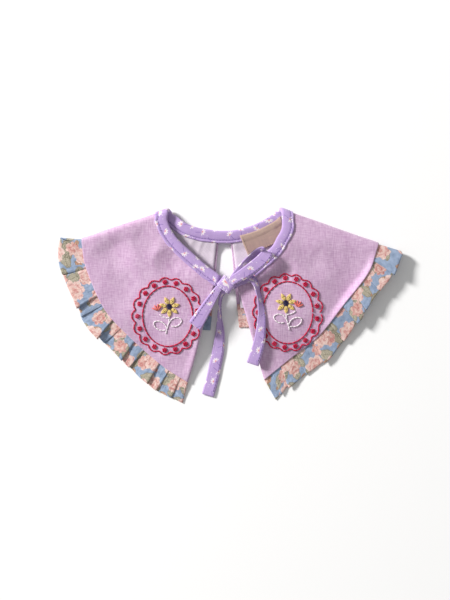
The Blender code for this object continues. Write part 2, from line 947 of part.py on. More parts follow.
def settle():
    """Move everything so that the bottom centre of the whole is the origin."""
    made = [item for item in bpy.data.objects if item.type == "MESH"]
    corners = [vertex.co for item in made for vertex in item.data.vertices]
    low = Vector(min(corner[axis] for corner in corners) for axis in range(3))
    high = Vector(max(corner[axis] for corner in corners) for axis in range(3))
    middle = (low + high) / 2
    middle.z = low.z
    for item in made:
        for vertex in item.data.vertices:
            vertex.co -= middle
        item.data.update()


def main():
    for old in list(bpy.data.objects):
        bpy.data.objects.remove(old)
    lilac = finish_of("lilac_linen", (0.70, 0.48, 0.68), 0.9)
    white = finish_of("white_cotton", (0.85, 0.78, 0.85), 0.85)
    floral = finish_of("floral_cotton", (0.25, 0.36, 0.55), 0.85)
    violet = finish_of("violet_tape", (0.42, 0.30, 0.66), 0.8)
    beige = finish_of("woven_label", (0.62, 0.46, 0.36), 0.8)
    skins = [Skin(half) for half in (left, right)]
    for skin in skins:
        make_panel(skin, lilac)
        make_lining(skin, white)
        make_ruffle(skin, floral)
    make_binding(*skins, violet)
    make_bow(violet)
    make_label(skins[1], beige)
    settle()


main()
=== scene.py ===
"""Looks for a child's embroidered cloth collar that lies flat, folded at the shoulders.

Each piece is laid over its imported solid: woven panels, a gathered floral ruffle, printed tape and thread.
Metres, +Z up. The camera looks straight down, as in the photograph.
"""

from functools import partial
from math import cos, hypot, pi, radians, sin

import bpy
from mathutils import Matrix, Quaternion, Vector, noise
from mathutils.bvhtree import BVHTree


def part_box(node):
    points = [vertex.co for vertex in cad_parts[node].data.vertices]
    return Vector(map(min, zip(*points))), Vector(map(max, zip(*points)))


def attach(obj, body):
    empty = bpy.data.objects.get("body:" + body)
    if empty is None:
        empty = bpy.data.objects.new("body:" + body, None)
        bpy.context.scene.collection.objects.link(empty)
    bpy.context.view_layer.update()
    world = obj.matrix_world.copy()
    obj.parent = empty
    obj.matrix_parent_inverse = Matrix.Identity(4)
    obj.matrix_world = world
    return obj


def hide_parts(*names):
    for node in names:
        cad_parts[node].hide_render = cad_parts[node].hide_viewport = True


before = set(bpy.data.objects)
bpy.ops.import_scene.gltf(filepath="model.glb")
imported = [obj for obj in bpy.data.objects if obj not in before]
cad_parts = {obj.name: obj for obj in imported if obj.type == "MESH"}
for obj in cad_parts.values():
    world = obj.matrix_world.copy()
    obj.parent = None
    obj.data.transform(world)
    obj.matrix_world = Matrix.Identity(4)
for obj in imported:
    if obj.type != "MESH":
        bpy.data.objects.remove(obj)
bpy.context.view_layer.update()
scene = bpy.context.scene


# The card: a sheet of white card that the collar lies on, just under its lowest threads.
# It is uncoated, so it is matt and takes the collar's soft shadow without a gloss.
MM = 0.001
card_half_width = 3.0
card_height = -0.4 * MM


def rgb(code):
    """The linear colour of an sRGB hex value."""
    parts = [int(code[n : n + 2], 16) / 255 for n in (1, 3, 5)]
    return (*[c / 12.92 if c <= 0.04045 else ((c + 0.055) / 1.055) ** 2.4 for c in parts], 1.0)


def material(name, finish):
    """A new material with these constants on its shader's own sockets."""
    made = bpy.data.materials.new(name)
    made.use_nodes = True
    for socket, value in finish.items():
        made.node_tree.nodes["Principled BSDF"].inputs[socket].default_value = value
    return made


def make_card():
    mesh = bpy.data.meshes.new("paper")
    corners = [(x * card_half_width, y * card_half_width) for x, y in ((-1, -1), (1, -1), (1, 1), (-1, 1))]
    mesh.from_pydata([(*corner, card_height) for corner in corners], [], [(0, 1, 2, 3)])
    mesh.materials.append(material("white_card", {"Base Color": (0.97, 0.97, 0.97, 1.0), "Roughness": 0.9}))
    made = bpy.data.objects.new("paper", mesh)
    scene.collection.objects.link(made)


make_card()


# Outer panels: each half is one piece of lilac linen, front and back, folded over at the shoulder.
# All round, its edges are turned in over the lining and pressed. The cloth is soft, so it wrinkles and sags
# in hollows between the neck and the seam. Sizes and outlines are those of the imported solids.
UP = Vector((0.0, 0.0, 1.0))
panel_wall = 1.0 * MM
lining_wall = 1.0 * MM
ruffle_wall = 1.0 * MM
binding_wall = 1.0 * MM
clearance = 0.3 * MM
layers = panel_wall + clearance + lining_wall
neck_half_width = 55.5 * MM
front_neck_drop = 67.0 * MM
back_neck_drop = 22.0 * MM
back_neck_rise = 3.2 * MM
binding_width = 12.0 * MM
binding_out = clearance + binding_wall
front_depth = 174.0 * MM
back_depth = 104.0 * MM
roll_reach = 5.5 * MM
flap_stand = 6.5 * MM
front_top = 2 * layers + flap_stand
front_rest = layers + 2 * clearance + ruffle_wall - clearance / 2
neck_share = 0.93
neck_top = front_rest + neck_share * (front_top - front_rest)
knot_middle = Vector((2.0 * MM, -76.0 * MM, 0.0))
knot_height = 6.4 * MM
knot_base = neck_top + binding_out + clearance

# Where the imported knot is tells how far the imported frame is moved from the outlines' own
knot_low, knot_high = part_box("bow_knot")
shift = (Vector(knot_low) + Vector(knot_high)) / 2 - knot_middle - UP * (knot_base + knot_height / 2)

# Height rows of the front flaps: way from centre to shoulder, neck, seam, where the fall starts, ruffle
lofts = [
    (0.00, 0.93, 0.00, 0.52, 0.00),
    (0.30, 0.96, 0.06, 0.60, 0.00),
    (0.50, 0.99, 0.62, 0.70, 0.30),
    (0.70, 1.00, 0.90, 0.75, 0.86),
    (1.00, 1.00, 1.00, 0.80, 1.00),
]

# Outlines as (across, down) shares, dents as (way, share, spread, depth), and hollows as they lie in the
# photograph, as (pixel across, pixel down, radius, depth) in millimetres
left = dict(
    name="left",
    side=-1,
    reach=142.4 * MM,
    neck_front=[(1.01, 0.087), (1.02, 0.18), (0.936, 0.34), (0.765, 0.516), (0.34, 0.833), (0.123, 0.967)],
    neck_back=[(0.922, 0.232), (0.772, 0.514), (0.628, 0.723), (0.414, 0.89), (0.094, 1.0)],
    seam_front=[(0.998, 0.2), (0.969, 0.341), (0.845, 0.572), (0.679, 0.728), (0.448, 0.897), (0.257, 1.0)],
    seam_back=[(0.972, 0.327), (0.873, 0.556), (0.698, 0.748), (0.48, 0.883), (0.276, 0.95), (0.087, 0.985)],
    dents=[(0.82, 0.30, 0.16, 0.16), (0.55, 0.22, 0.14, 0.12), (0.70, 0.66, 0.16, 0.10)],
    hollows=[
        (113, 250, 27, 3.2),
        (177, 262, 25, 2.6),
        (122, 292, 30, 0.8),
        (197, 300, 22, 1.4),
        (188, 358, 30, 1.2),
    ],
)
right = dict(
    name="right",
    side=1,
    reach=154.6 * MM,
    neck_front=[(1.03, 0.084), (1.03, 0.29), (0.94, 0.437), (0.815, 0.6), (0.382, 0.907), (0.184, 0.997)],
    neck_back=[(0.9, 0.186), (0.797, 0.386), (0.531, 0.723), (0.264, 0.927), (0.104, 1.0)],
    seam_front=[(0.987, 0.229), (0.931, 0.368), (0.778, 0.545), (0.61, 0.734), (0.418, 0.87), (0.26, 0.985)],
    seam_back=[(0.986, 0.37), (0.877, 0.575), (0.716, 0.748), (0.522, 0.873), (0.295, 0.94), (0.085, 0.96)],
    dents=[(0.50, 0.26, 0.14, 0.18), (0.78, 0.55, 0.18, 0.12)],
    hollows=[(352, 288, 56, 7.0), (306, 262, 26, 2.4), (296, 352, 30, -1.0), (262, 330, 20, 1.0)],
)

# How finely each half is divided: round the neck in three stretches, and from the neck to the seam
front_steps, roll_steps, back_steps = 72, 14, 48
shares = [0.0, 0.004, 0.012, 0.022] + [0.03 + 0.94 * n / 44 for n in range(45)] + [0.978, 0.986, 0.993, 1.0]


def smoothstep(share):
    share = min(max(share, 0.0), 1.0)
    return share * share * (3 - 2 * share)


def blend(a, b, share):
    """The value this share of the way from one to the other."""
    return a + (b - a) * share


def smooth_line(knots, steps=10):
    """Points of a smooth curve through the knots."""
    knots = [2 * knots[0] - knots[1], *knots, 2 * knots[-1] - knots[-2]]
    points = []
    for before, start, end, after in zip(knots, knots[1:], knots[2:], knots[3:]):
        for step in range(steps):
            t = step / steps
            drift = (end - before) * t
            bend = (2 * before - 5 * start + 4 * end - after) * t * t
            swing = (3 * start - before - 3 * end + after) * t**3
            points.append(0.5 * (2 * start + drift + bend + swing))
    return [*points, knots[-2]]


def lengths_of(points):
    total, lengths = 0.0, [0.0]
    for start, end in zip(points, points[1:]):
        total += (end - start).length
        lengths.append(total)
    return lengths


def place_at(lengths, distance):
    """Where along a line a distance lies, as the number of its point and the share to the next."""
    distance = min(max(distance, 0.0), lengths[-1])
    low, high = 0, len(lengths) - 1
    while high - low > 1:
        middle = (low + high) // 2
        if lengths[middle] <= distance:
            low = middle
        else:
            high = middle
    return low + (distance - lengths[low]) / max(lengths[high] - lengths[low], 1e-12)


def pick(values, place):
    index = min(int(place), len(values) - 2)
    return blend(values[index], values[index + 1], place - index)


def spaced(points, count):
    """The same line with evenly spaced points."""
    lengths = lengths_of(points)
    return [pick(points, place_at(lengths, lengths[-1] * n / count)) for n in range(count + 1)]


def on_table(half, across, down):
    """A place on the card, out to the half's own side and down from the top of the neck."""
    return Vector((half["side"] * across, -down, 0.0))


def outline(half, turns, width, depth, steps):
    knots = [on_table(half, across * width, down * depth) for across, down in turns]
    return spaced(smooth_line(knots), steps)


def row_at(rows, at):
    """A table's values at a place between two of its rows, each of which starts with its own place."""
    before = max((row for row in rows if row[0] <= at), key=lambda row: row[0])
    after = min((row for row in rows if row[0] >= at), key=lambda row: row[0])
    between = (at - before[0]) / max(after[0] - before[0], 1e-9)
    return [blend(a, b, between) for a, b in zip(before[1:], after[1:])]


def front_height(half, way, share):
    neck, seam, falls_from, _ = row_at(lofts, way)
    lift = blend(neck, seam, smoothstep((share - falls_from) / (1 - falls_from)))
    for dent_way, dent_share, spread, depth in half["dents"]:
        away = ((way - dent_way) ** 2 + (share - dent_share) ** 2) / spread**2
        lift -= depth * smoothstep(1 - away)
    return blend(front_rest, front_top, lift)


def back_height(distance, way=0.0):
    """The back lies flat but for its neck edge, which stands up a little behind the front."""
    lifted = binding_out + clearance / 2
    flat = lifted * (1 - smoothstep((distance - binding_width) / binding_width))
    standing = back_neck_rise * smoothstep(way / 0.3)
    return flat + standing * (1 - min(distance / (1.7 * binding_width), 1.0)) ** 1.3


def ripple(x, y, z):
    """A smooth value between -1 and 1 at each place, the same on every run."""
    return noise.noise(Vector((x, y, z)))


def wrinkle(place, size, depth, seed):
    """Soft undulations of the cloth."""
    return depth * ripple(place.x / size, place.y / size, place.z / size + seed_step * seed)


def make_skin(half):
    """The outer face of one half, in stations from centre front over the shoulder to centre back."""
    neck = outline(half, half["neck_front"], neck_half_width, front_neck_drop, front_steps)[::-1]
    seam = outline(half, half["seam_front"], half["reach"], front_depth, front_steps)[::-1]
    neck_behind = outline(half, half["neck_back"], neck_half_width, back_neck_drop, back_steps)
    seam_behind = outline(half, half["seam_back"], half["reach"], back_depth, back_steps)
    stations = [("front", n / front_steps, neck[n], seam[n]) for n in range(front_steps + 1)]
    for step in range(1, roll_steps):
        share = step / roll_steps
        base = blend(neck[-1], neck_behind[0], share), blend(seam[-1], seam_behind[0], share)
        stations.append(("roll", share, *base))
    stations += [("back", n / back_steps, neck_behind[n], seam_behind[n]) for n in range(back_steps + 1)]
    fold = seam[-1] - neck[-1]
    outwards = Vector((-fold.y, fold.x, 0.0)).normalized() * half["side"]
    skin = dict(half=half, stations=stations, outwards=outwards, tip=neck[-1])
    skin["slants"] = slants_of(stations)
    skin["grid"] = [[skin_point(skin, i, share) for share in shares] for i in range(len(stations))]
    skin["normals"] = normals_of(skin["grid"], half["side"])
    skin["flat"] = [[flat_place(skin, i, j) for j in range(len(shares))] for i in range(len(stations))]
    return skin


def slants_of(stations):
    """Cosine of the angle between each line of the grid and the square of the neckline."""
    slants = []
    for index, (kind, _, neck, seam) in enumerate(stations):
        same = [n for n in (index - 1, index + 1) if 0 <= n < len(stations) and stations[n][0] == kind]
        tangent = stations[max(same)][2] - stations[min(same)][2] if len(same) == 2 else None
        tangent = tangent or stations[same[0]][2] - neck
        if kind == "roll":
            slants.append(slants[-1])
            continue
        rung = (seam - neck).normalized()
        slants.append((rung - rung.project(tangent)).length)
    return slants


def skin_point(skin, index, share, from_fold=None):
    """A point of the outer face. from_fold is a distance from the neckline's fold, instead of a share."""
    half = skin["half"]
    kind, way, neck, seam = skin["stations"][index]
    slant = skin["slants"][index]
    rung = seam - neck
    edge = binding_out / slant
    distance = blend(edge, rung.length, share) if from_fold is None else from_fold / slant
    along = (distance - edge) / (rung.length - edge)
    place = neck + rung * (distance / rung.length)
    front = front_height(half, way if kind == "front" else 1.0, along)
    back = back_height(distance, way if kind == "back" else 0.0)
    if kind == "front":
        return place + UP * front
    if kind == "back":
        return place + UP * back
    angle = pi * (0.5 - way)
    height = (front + back) / 2 + (front - back) / 2 * sin(angle)
    return place + skin["outwards"] * roll_reach * cos(angle) + UP * height


def normals_of(grid, side):
    rows, columns = len(grid), len(grid[0])
    normals = []
    for i in range(rows):
        line = []
        for j in range(columns):
            down = grid[min(i + 1, rows - 1)][j] - grid[max(i - 1, 0)][j]
            across = grid[i][min(j + 1, columns - 1)] - grid[i][max(j - 1, 0)]
            line.append((down.cross(across) * -side).normalized())
        normals.append(line)
    return normals


def flat_place(skin, i, j):
    """Where a point of the folded cloth lies when the half is opened out flat."""
    kind, way, _, _ = skin["stations"][i]
    point = skin["grid"][i][j].copy()
    point.z = 0.0
    roll = pi * (roll_reach + front_top / 2) / 2
    if kind == "front":
        return point
    if kind == "roll":
        point -= skin["outwards"] * (roll_reach * cos(pi * (0.5 - way)) - roll * way)
        return point
    away = point - skin["tip"]
    across = away.dot(skin["outwards"])
    return point + skin["outwards"] * (roll - 2 * across)


def cloth(name, outer, inner, flat, faces_out, finish, soft=0.0):
    """A closed wall of cloth between two grids. soft pulls the rim's middle outwards for a rounded edge."""
    rows, columns = len(outer), len(outer[0])
    points = [p for line in outer for p in line] + [p for line in inner for p in line]
    uvs = [p for line in flat for p in line] * 2
    below = rows * columns

    def at(i, j):
        return i * columns + j

    faces = []
    for i in range(rows - 1):
        for j in range(columns - 1):
            quad = (at(i, j), at(i + 1, j), at(i + 1, j + 1), at(i, j + 1))
            faces.append(quad)
            faces.append(tuple(below + n for n in reversed(quad)))
    rim = [at(i, 0) for i in range(rows)]
    rim += [at(rows - 1, j) for j in range(1, columns)]
    rim += [at(i, columns - 1) for i in range(rows - 2, -1, -1)]
    rim += [at(0, j) for j in range(columns - 2, 0, -1)]
    middle = len(points)
    for n, index in enumerate(rim):
        i, j = divmod(index, columns)
        inside = outer[min(max(i, 1), rows - 2)][min(max(j, 1), columns - 2)]
        away = (outer[i][j] - inside).normalized() * soft
        points.append((points[index] + points[below + index]) / 2 + away)
        uvs.append(uvs[index])
    count = len(rim)
    for n in range(count):
        start, end = rim[n], rim[(n + 1) % count]
        a, b = middle + n, middle + (n + 1) % count
        faces.append((end, start, a, b))
        faces.append((b, a, below + start, below + end))
    if not faces_out:
        faces = [tuple(reversed(face)) for face in faces]
    return add_mesh(name, points, faces, uvs, finish)


def add_mesh(name, points, faces, uvs, finish):
    """A piece that rides with the collar. Its UVs are its cut pattern, so that prints keep their scale."""
    mesh = bpy.data.meshes.new(name)
    mesh.from_pydata([tuple(point + shift) for point in points], [], faces)
    mesh.update()
    layer = mesh.uv_layers.new(name="cut")
    for loop in mesh.loops:
        layer.data[loop.index].uv = uvs[loop.vertex_index].xy
    mesh.materials.append(finish)
    mesh.shade_smooth()
    made = bpy.data.objects.new(name, mesh)
    scene.collection.objects.link(made)
    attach(made, "root")
    return made


def offset_grid(grid, normals, depth_at):
    """The grid sunk along its normals, by a depth for each of its points."""
    return [
        [point - normal * depth_at(i, j) for j, (point, normal) in enumerate(zip(line, ups))]
        for i, (line, ups) in enumerate(zip(grid, normals))
    ]


def node(tree, kind, inputs=(), out=0, **settings):
    """Adds a node with its settings and links, and gives one of its outputs, or all of them for None."""
    made = tree.nodes.new("ShaderNode" + kind)
    for key, value in settings.items():
        setattr(made, key, value)
    for key, value in inputs.items() if isinstance(inputs, dict) else enumerate(inputs):
        if isinstance(value, bpy.types.NodeSocket):
            tree.links.new(value, made.inputs[key])
        else:
            made.inputs[key].default_value = value
    return made.outputs if out is None else made.outputs[out]


def fabric(name, roughness, sheen):
    """A cloth's bare material, the way to add its nodes, and its cut pattern in millimetres."""
    fuzz = {"Sheen Weight": sheen, "Sheen Roughness": 0.5, "Specular IOR Level": 0.25}
    made = material(name, {"Roughness": roughness, **fuzz})
    add = partial(node, made.node_tree)
    per_mm = 1 / MM
    return made, add, add("Mapping", {"Vector": add("UVMap", uv_map="cut"), "Scale": (per_mm,) * 3})


def weave(add, uv, pitch, slub):
    """The height of threads that pass over and under each other, and the slubs that run along them.

    A slub is a thick place in a thread, about 8 mm long and a millimetre wide.
    """
    waves = []
    for way in add("SeparateXYZ", (uv,), None)[:2]:
        turns = add("Math", (way, 2 * pi / pitch), operation="MULTIPLY")
        waves.append(add("Math", (turns,), operation="SINE"))
    over = add("Math", (add("Math", waves, operation="MULTIPLY"), 0.5, 0.5), operation="MULTIPLY_ADD")
    slubs = []
    for start, stretch in (((0, 0, 0), (0.12, 1.1, 1)), ((7, 3, 0), (0.85, 0.1, 1))):
        thread = add("Mapping", {"Vector": uv, "Location": start, "Scale": stretch})
        slubs.append(add("TexNoise", {"Vector": thread, "Scale": 1.0, "Detail": 3.0, "Roughness": 0.6}))
    slubs = add("Math", slubs, operation="ADD")
    raised = add("Math", (slubs, slub), operation="MULTIPLY")
    return add("Math", (over, 0.5, raised), operation="MULTIPLY_ADD"), slubs


def printed(add, ground, inks):
    """A ground with inks printed over it one after another, each where its mask is 1."""
    for mask, ink in inks:
        ground = add("Mix", {0: mask, 6: ground, 7: ink}, 2, data_type="RGBA")
    return ground


def dressed(made, colour, height, strength, distance):
    """The material with this colour and relief on its shader."""
    tree = made.node_tree
    shader = tree.nodes["Principled BSDF"]
    tree.links.new(colour, shader.inputs["Base Color"])
    relief = node(tree, "Bump", {"Height": height, "Strength": strength, "Distance": distance})
    tree.links.new(relief, shader.inputs["Normal"])
    return made


def woven(name, colour, shade, pitch, slub, strength, roughness, sheen):
    """A plain woven cloth of one colour, mottled by its slubs and by broad patches some 20 mm wide."""
    made, add, uv = fabric(name, roughness, sheen)
    height, slubs = weave(add, uv, pitch, slub)
    broad = add("TexNoise", {"Vector": uv, "Scale": 0.045})
    broad = add("Math", (broad, 0.8, -2.3), operation="MULTIPLY_ADD")
    mottle = add("Math", (slubs, 2.4, broad), operation="MULTIPLY_ADD", use_clamp=True)
    colour = printed(add, rgb(colour), [(mottle, rgb(shade))])
    return dressed(made, colour, height, strength, 0.35 * MM)


# Piece-dyed linen, plain woven and washed: matt, a little fuzzy, with thick and thin threads that mottle it.
# Its threads are about 0.45 mm apart, drawn at 0.62 mm so that they still show
linen = woven("lilac_linen", "#dfc1dc", "#c49cc1", 0.62, 0.6, 0.7, 0.92, 0.25)


# A pixel of the photograph is a millimetre of the collar, and this one lies where the outlines start
photo_start = (224.35, 208.5)


def photo_place(px, py):
    """A point of the photograph in the outlines' own place."""
    return Vector(((px - photo_start[0]) * MM, (photo_start[1] - py) * MM, 0.0))


# Wrinkles as (size, depth, seed), then how deep the cloth puckers at the seam and at the neck
wrinkles = ((34 * MM, 0.55 * MM, 1), (13 * MM, 0.22 * MM, 2))
seed_step = 17.3
seam_pucker, neck_pucker = 0.35 * MM, 0.3 * MM
turned_wall = layers - 0.2 * MM
pressed_edge = 0.35 * MM


def hollow_at(half, point):
    """How far the cloth sags at a place, from the hollows seen in the photograph."""
    sag = 0.0
    for px, py, radius, depth in half["hollows"]:
        away = (photo_place(px, py) - Vector((point.x, point.y, 0.0))).length / (radius * MM)
        sag += depth * MM * smoothstep(1 - away)
    return sag


def make_panel(skin):
    half, count = skin["half"], len(skin["stations"])
    name, side = half["name"], half["side"]
    for i, line in enumerate(skin["grid"]):
        kind = skin["stations"][i][0]
        for j, point in enumerate(line):
            flat = skin["flat"][i][j]
            share = shares[j]
            calm = smoothstep(min(share, 1 - share) / 0.06) * smoothstep(min(i, count - 1 - i) / 3)
            depth = sum(wrinkle(flat, *each) for each in wrinkles)
            along, across = i * 0.42, share * 1.2
            near_seam = smoothstep(1 - abs(share - 0.95) / 0.1)
            depth += seam_pucker * near_seam * ripple(along, across, 5 + side)
            near_neck = smoothstep(1 - abs(share - 0.12) / 0.12)
            depth += neck_pucker * near_neck * ripple(along * 0.8, across * 0.8, 9 + side)
            if kind == "back":
                depth = min(depth, 0.0) * 0.3
            if kind == "front":
                depth -= hollow_at(half, point) * smoothstep((1 - skin["stations"][i][1]) / 0.1)
            line[j] = point + skin["normals"][i][j] * (depth * calm)
    skin["normals"] = normals_of(skin["grid"], side)
    outer = [list(line) for line in skin["grid"]]
    for i in (0, count - 1):
        outer[i] = [point - normal * pressed_edge for point, normal in zip(outer[i], skin["normals"][i])]

    def wall(i, _):
        return turned_wall if i in (0, count - 1) else panel_wall

    inner = offset_grid(skin["grid"], skin["normals"], wall)
    made = cloth(f"{name}_panel_cloth", outer, inner, skin["flat"], side < 0, linen, 0.3 * MM)
    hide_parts(f"{name}_panel")
    return made


skins = [make_skin(half) for half in (left, right)]
for skin in skins:
    panel = make_panel(skin)


# Embroidery: a scalloped oval frame on each front flap with a flower sprig inside, worked by hand in
# stranded cotton. Back stitches lie end to end through the linen, and short ones side by side make the dots.
# A real ply winds round its stitch about every 0.8 mm, and it is drawn at 1.4 mm so that it shows
ply_turns_along = 4.5
ply_turns_across = 5.0
stitch_rise = 0.42 * MM
stitch_shares = (0.0, 0.14, 0.34, 0.5, 0.66, 0.86, 1.0)
scallop_count = 17
scallop_depth = 0.1
scallop_unevenness = 0.012
petal_count = 7
oval_points = 340
frame_radius, stem_radius, petal_radius, bud_radius = 0.72 * MM, 0.62 * MM, 0.68 * MM, 0.8 * MM

# The sprig in millimetres from the oval's middle, before it is turned to its flap
sprig_stem = [(-1.4, 1.6), (-1.6, -3.5), (-0.6, -9.0), (1.2, -14.5), (2.2, -20.5)]
sprig_leaves = [
    [(-1.0, -7.4), (-4.4, -2.8), (-9.6, -1.4), (-14.2, -3.4), (-12.6, -7.8), (-7.4, -10.4), (-0.6, -8.8)],
    [(0.6, -12.4), (3.4, -7.2), (8.4, -4.8), (13.6, -5.6), (13.0, -10.4), (7.6, -14.0), (1.2, -13.8)],
]
sprig_branch = [(-1.6, -2.0), (3.4, -1.2), (7.4, 1.2), (9.6, 4.0)]
flower_middle = (-1.8, 9.4)
bud_middle = (11.2, 7.6)


def stranded_cotton(name, colour, shade):
    """Mercerised six-strand cotton: smoother and brighter than the cloth, its twisted strands winding round
    it. The crests of the twist take the lighter colour as painted highlight, and the grooves between strands
    take the darker one as painted shade.
    """
    made, add, uv = fabric(name, 0.5, 0.05)
    along, round_it = add("SeparateXYZ", (uv,), None)[:2]
    turns = add("Math", (round_it, ply_turns_across), operation="MULTIPLY")
    turns = add("Math", (along, ply_turns_along, turns), operation="MULTIPLY_ADD")
    ply_relief_and_shade = add("Math", (add("Math", (turns,), operation="SINE"), 0.5, 0.5), operation="MULTIPLY_ADD")
    # Painted highlight on the crests of the twist and painted shade in the grooves between strands, from the
    # same waves as the relief
    colour = printed(add, rgb(shade), [(ply_relief_and_shade, rgb(colour))])
    return dressed(made, colour, ply_relief_and_shade, 0.6, 0.15 * MM)


# Each thread's second colour is the painted shade in the grooves of its twist
crimson = stranded_cotton("crimson_thread", "#d61246", "#a6083a")
white_thread = stranded_cotton("white_thread", "#faf3f5", "#e0d3dc")
yellow_thread = stranded_cotton("yellow_thread", "#efd88e", "#cfae62")
coral_thread = stranded_cotton("coral_thread", "#ee8478", "#cf5f58")
navy_thread = stranded_cotton("navy_thread", "#2b2450", "#1a1736")


def heading(angle):
    """The way that an angle on the card points."""
    return Vector((cos(angle), sin(angle), 0.0))


def tube_faces(rings, around, first=0):
    """The faces of a closed tube of rings with so many points around, and of its two ends."""
    faces = []
    for n in range(rings - 1):
        for m in range(around):
            a, b = first + n * around + m, first + n * around + (m + 1) % around
            faces.append((a, b, b + around, a + around))
    faces.append(tuple(first + m for m in reversed(range(around))))
    faces.append(tuple(first + (rings - 1) * around + m for m in range(around)))
    return faces


def threads(name, strands, radius, thread, sides=7):
    """Rounded strands of thread laid end to end in one mesh, narrower where they go into the cloth."""
    points, faces, uvs = [], [], []
    for strand in strands:
        faces += tube_faces(len(strand), sides, len(points))
        lengths = lengths_of(strand)
        last = len(strand) - 1
        for n, place in enumerate(strand):
            ahead = (strand[min(n + 1, last)] - strand[max(n - 1, 0)]).normalized()
            level = ahead.cross(UP)
            level = level.normalized() if level.length > 0.05 else Vector((1, 0, 0))
            high = level.cross(ahead)
            size = radius * (0.45 if n in (0, last) else 1.0)
            for side in range(sides):
                angle = 2 * pi * side / sides
                points.append(place + level * cos(angle) * size + high * sin(angle) * size)
                uvs.append(Vector((lengths[n], radius * angle, 0)))
    add_mesh(name, points, faces, uvs, thread)


def stitch(start, end, up, rise, sink=0.25 * MM):
    """One stitch that goes into the cloth at both ends, and lies flat between them."""
    line = []
    for share in stitch_shares:
        height = rise * min(sin(pi * share) * 2.2, 1.0) - sink * (1 if share in (0.0, 1.0) else 0)
        line.append(blend(start, end, share) + up * height)
    return line


def run_of_stitches(points, ups, length, gap, rise, jitter=0.0):
    """Stitches of one length along a line of points on the cloth."""
    lengths = lengths_of(points)
    strands, at = [], gap
    while at + length < lengths[-1]:
        wander = jitter * ripple(at * 371, 0.5, 0.2)
        a, b = place_at(lengths, at), place_at(lengths, at + length * (1 + wander))
        up = pick(ups, (a + b) / 2).normalized()
        strands.append(stitch(pick(points, a), pick(points, b), up, rise))
        at += length * (1 + wander) + gap
    return strands


def surface_of(rows):
    """The cloth's face as something that a point can be dropped on."""
    columns = len(rows[0])
    points = [tuple(point) for line in rows for point in line]
    faces = []
    for i in range(len(rows) - 1):
        for j in range(columns - 1):
            a = i * columns + j
            faces.append((a, a + columns, a + columns + 1, a + 1))
    return BVHTree.FromPolygons(points, faces)


def dropped(surface, place):
    """The point of the cloth under a place, and which way is up there."""
    hit, normal, _, _ = surface.ray_cast((place.x, place.y, 0.1), -UP)
    if hit is None:
        hit, normal, _, _ = surface.find_nearest((place.x, place.y, front_top))
    return hit, normal if normal.z > 0 else -normal


def laid(surface, places):
    """A line of places dropped on the cloth, with the way up at each."""
    drops = [dropped(surface, place) for place in places]
    return [drop[0] for drop in drops], [drop[1] for drop in drops]


def back_stitches(surface, places, length, gap, jitter=0.12):
    """A line of back stitches that follows places on the cloth."""
    points, ups = laid(surface, places)
    return run_of_stitches(points, ups, length, gap, stitch_rise, jitter)


def fat_stitch(surface, start, end, lift):
    """One full stitch of all six strands."""
    (a, up), (b, _) = dropped(surface, start), dropped(surface, end)
    return stitch(a, b, up, lift, 0.3 * MM)


def knot_of_stitches(surface, middle, angle, size, count=3):
    """Short stitches side by side that make a raised dot."""
    along, beside = heading(angle), heading(angle + pi / 2)
    strands = []
    for n in range(count):
        x = (n - (count - 1) / 2) * size * 0.3
        half = size * 0.5 * (1 - 0.28 * abs(2 * n / (count - 1) - 1) ** 2)
        centre = middle + beside * x
        strands.append(fat_stitch(surface, centre - along * half, centre + along * half, 0.75 * MM))
    return strands


def petal_of_stitches(surface, root, tip, width):
    """A pointed petal: a long middle stitch between two that lean in to it."""
    along = (tip - root).normalized()
    beside = Vector((-along.y, along.x, 0.0))
    strands = [fat_stitch(surface, root + along * 0.1 * MM, tip, 0.85 * MM)]
    for way in (-1, 1):
        middle = blend(root, tip, 0.42) + beside * way * width * 0.5
        strands.append(fat_stitch(surface, root + beside * way * 0.25 * MM, middle, 0.7 * MM))
        strands.append(fat_stitch(surface, middle + along * 0.1 * MM, blend(root, tip, 0.93), 0.7 * MM))
    return strands


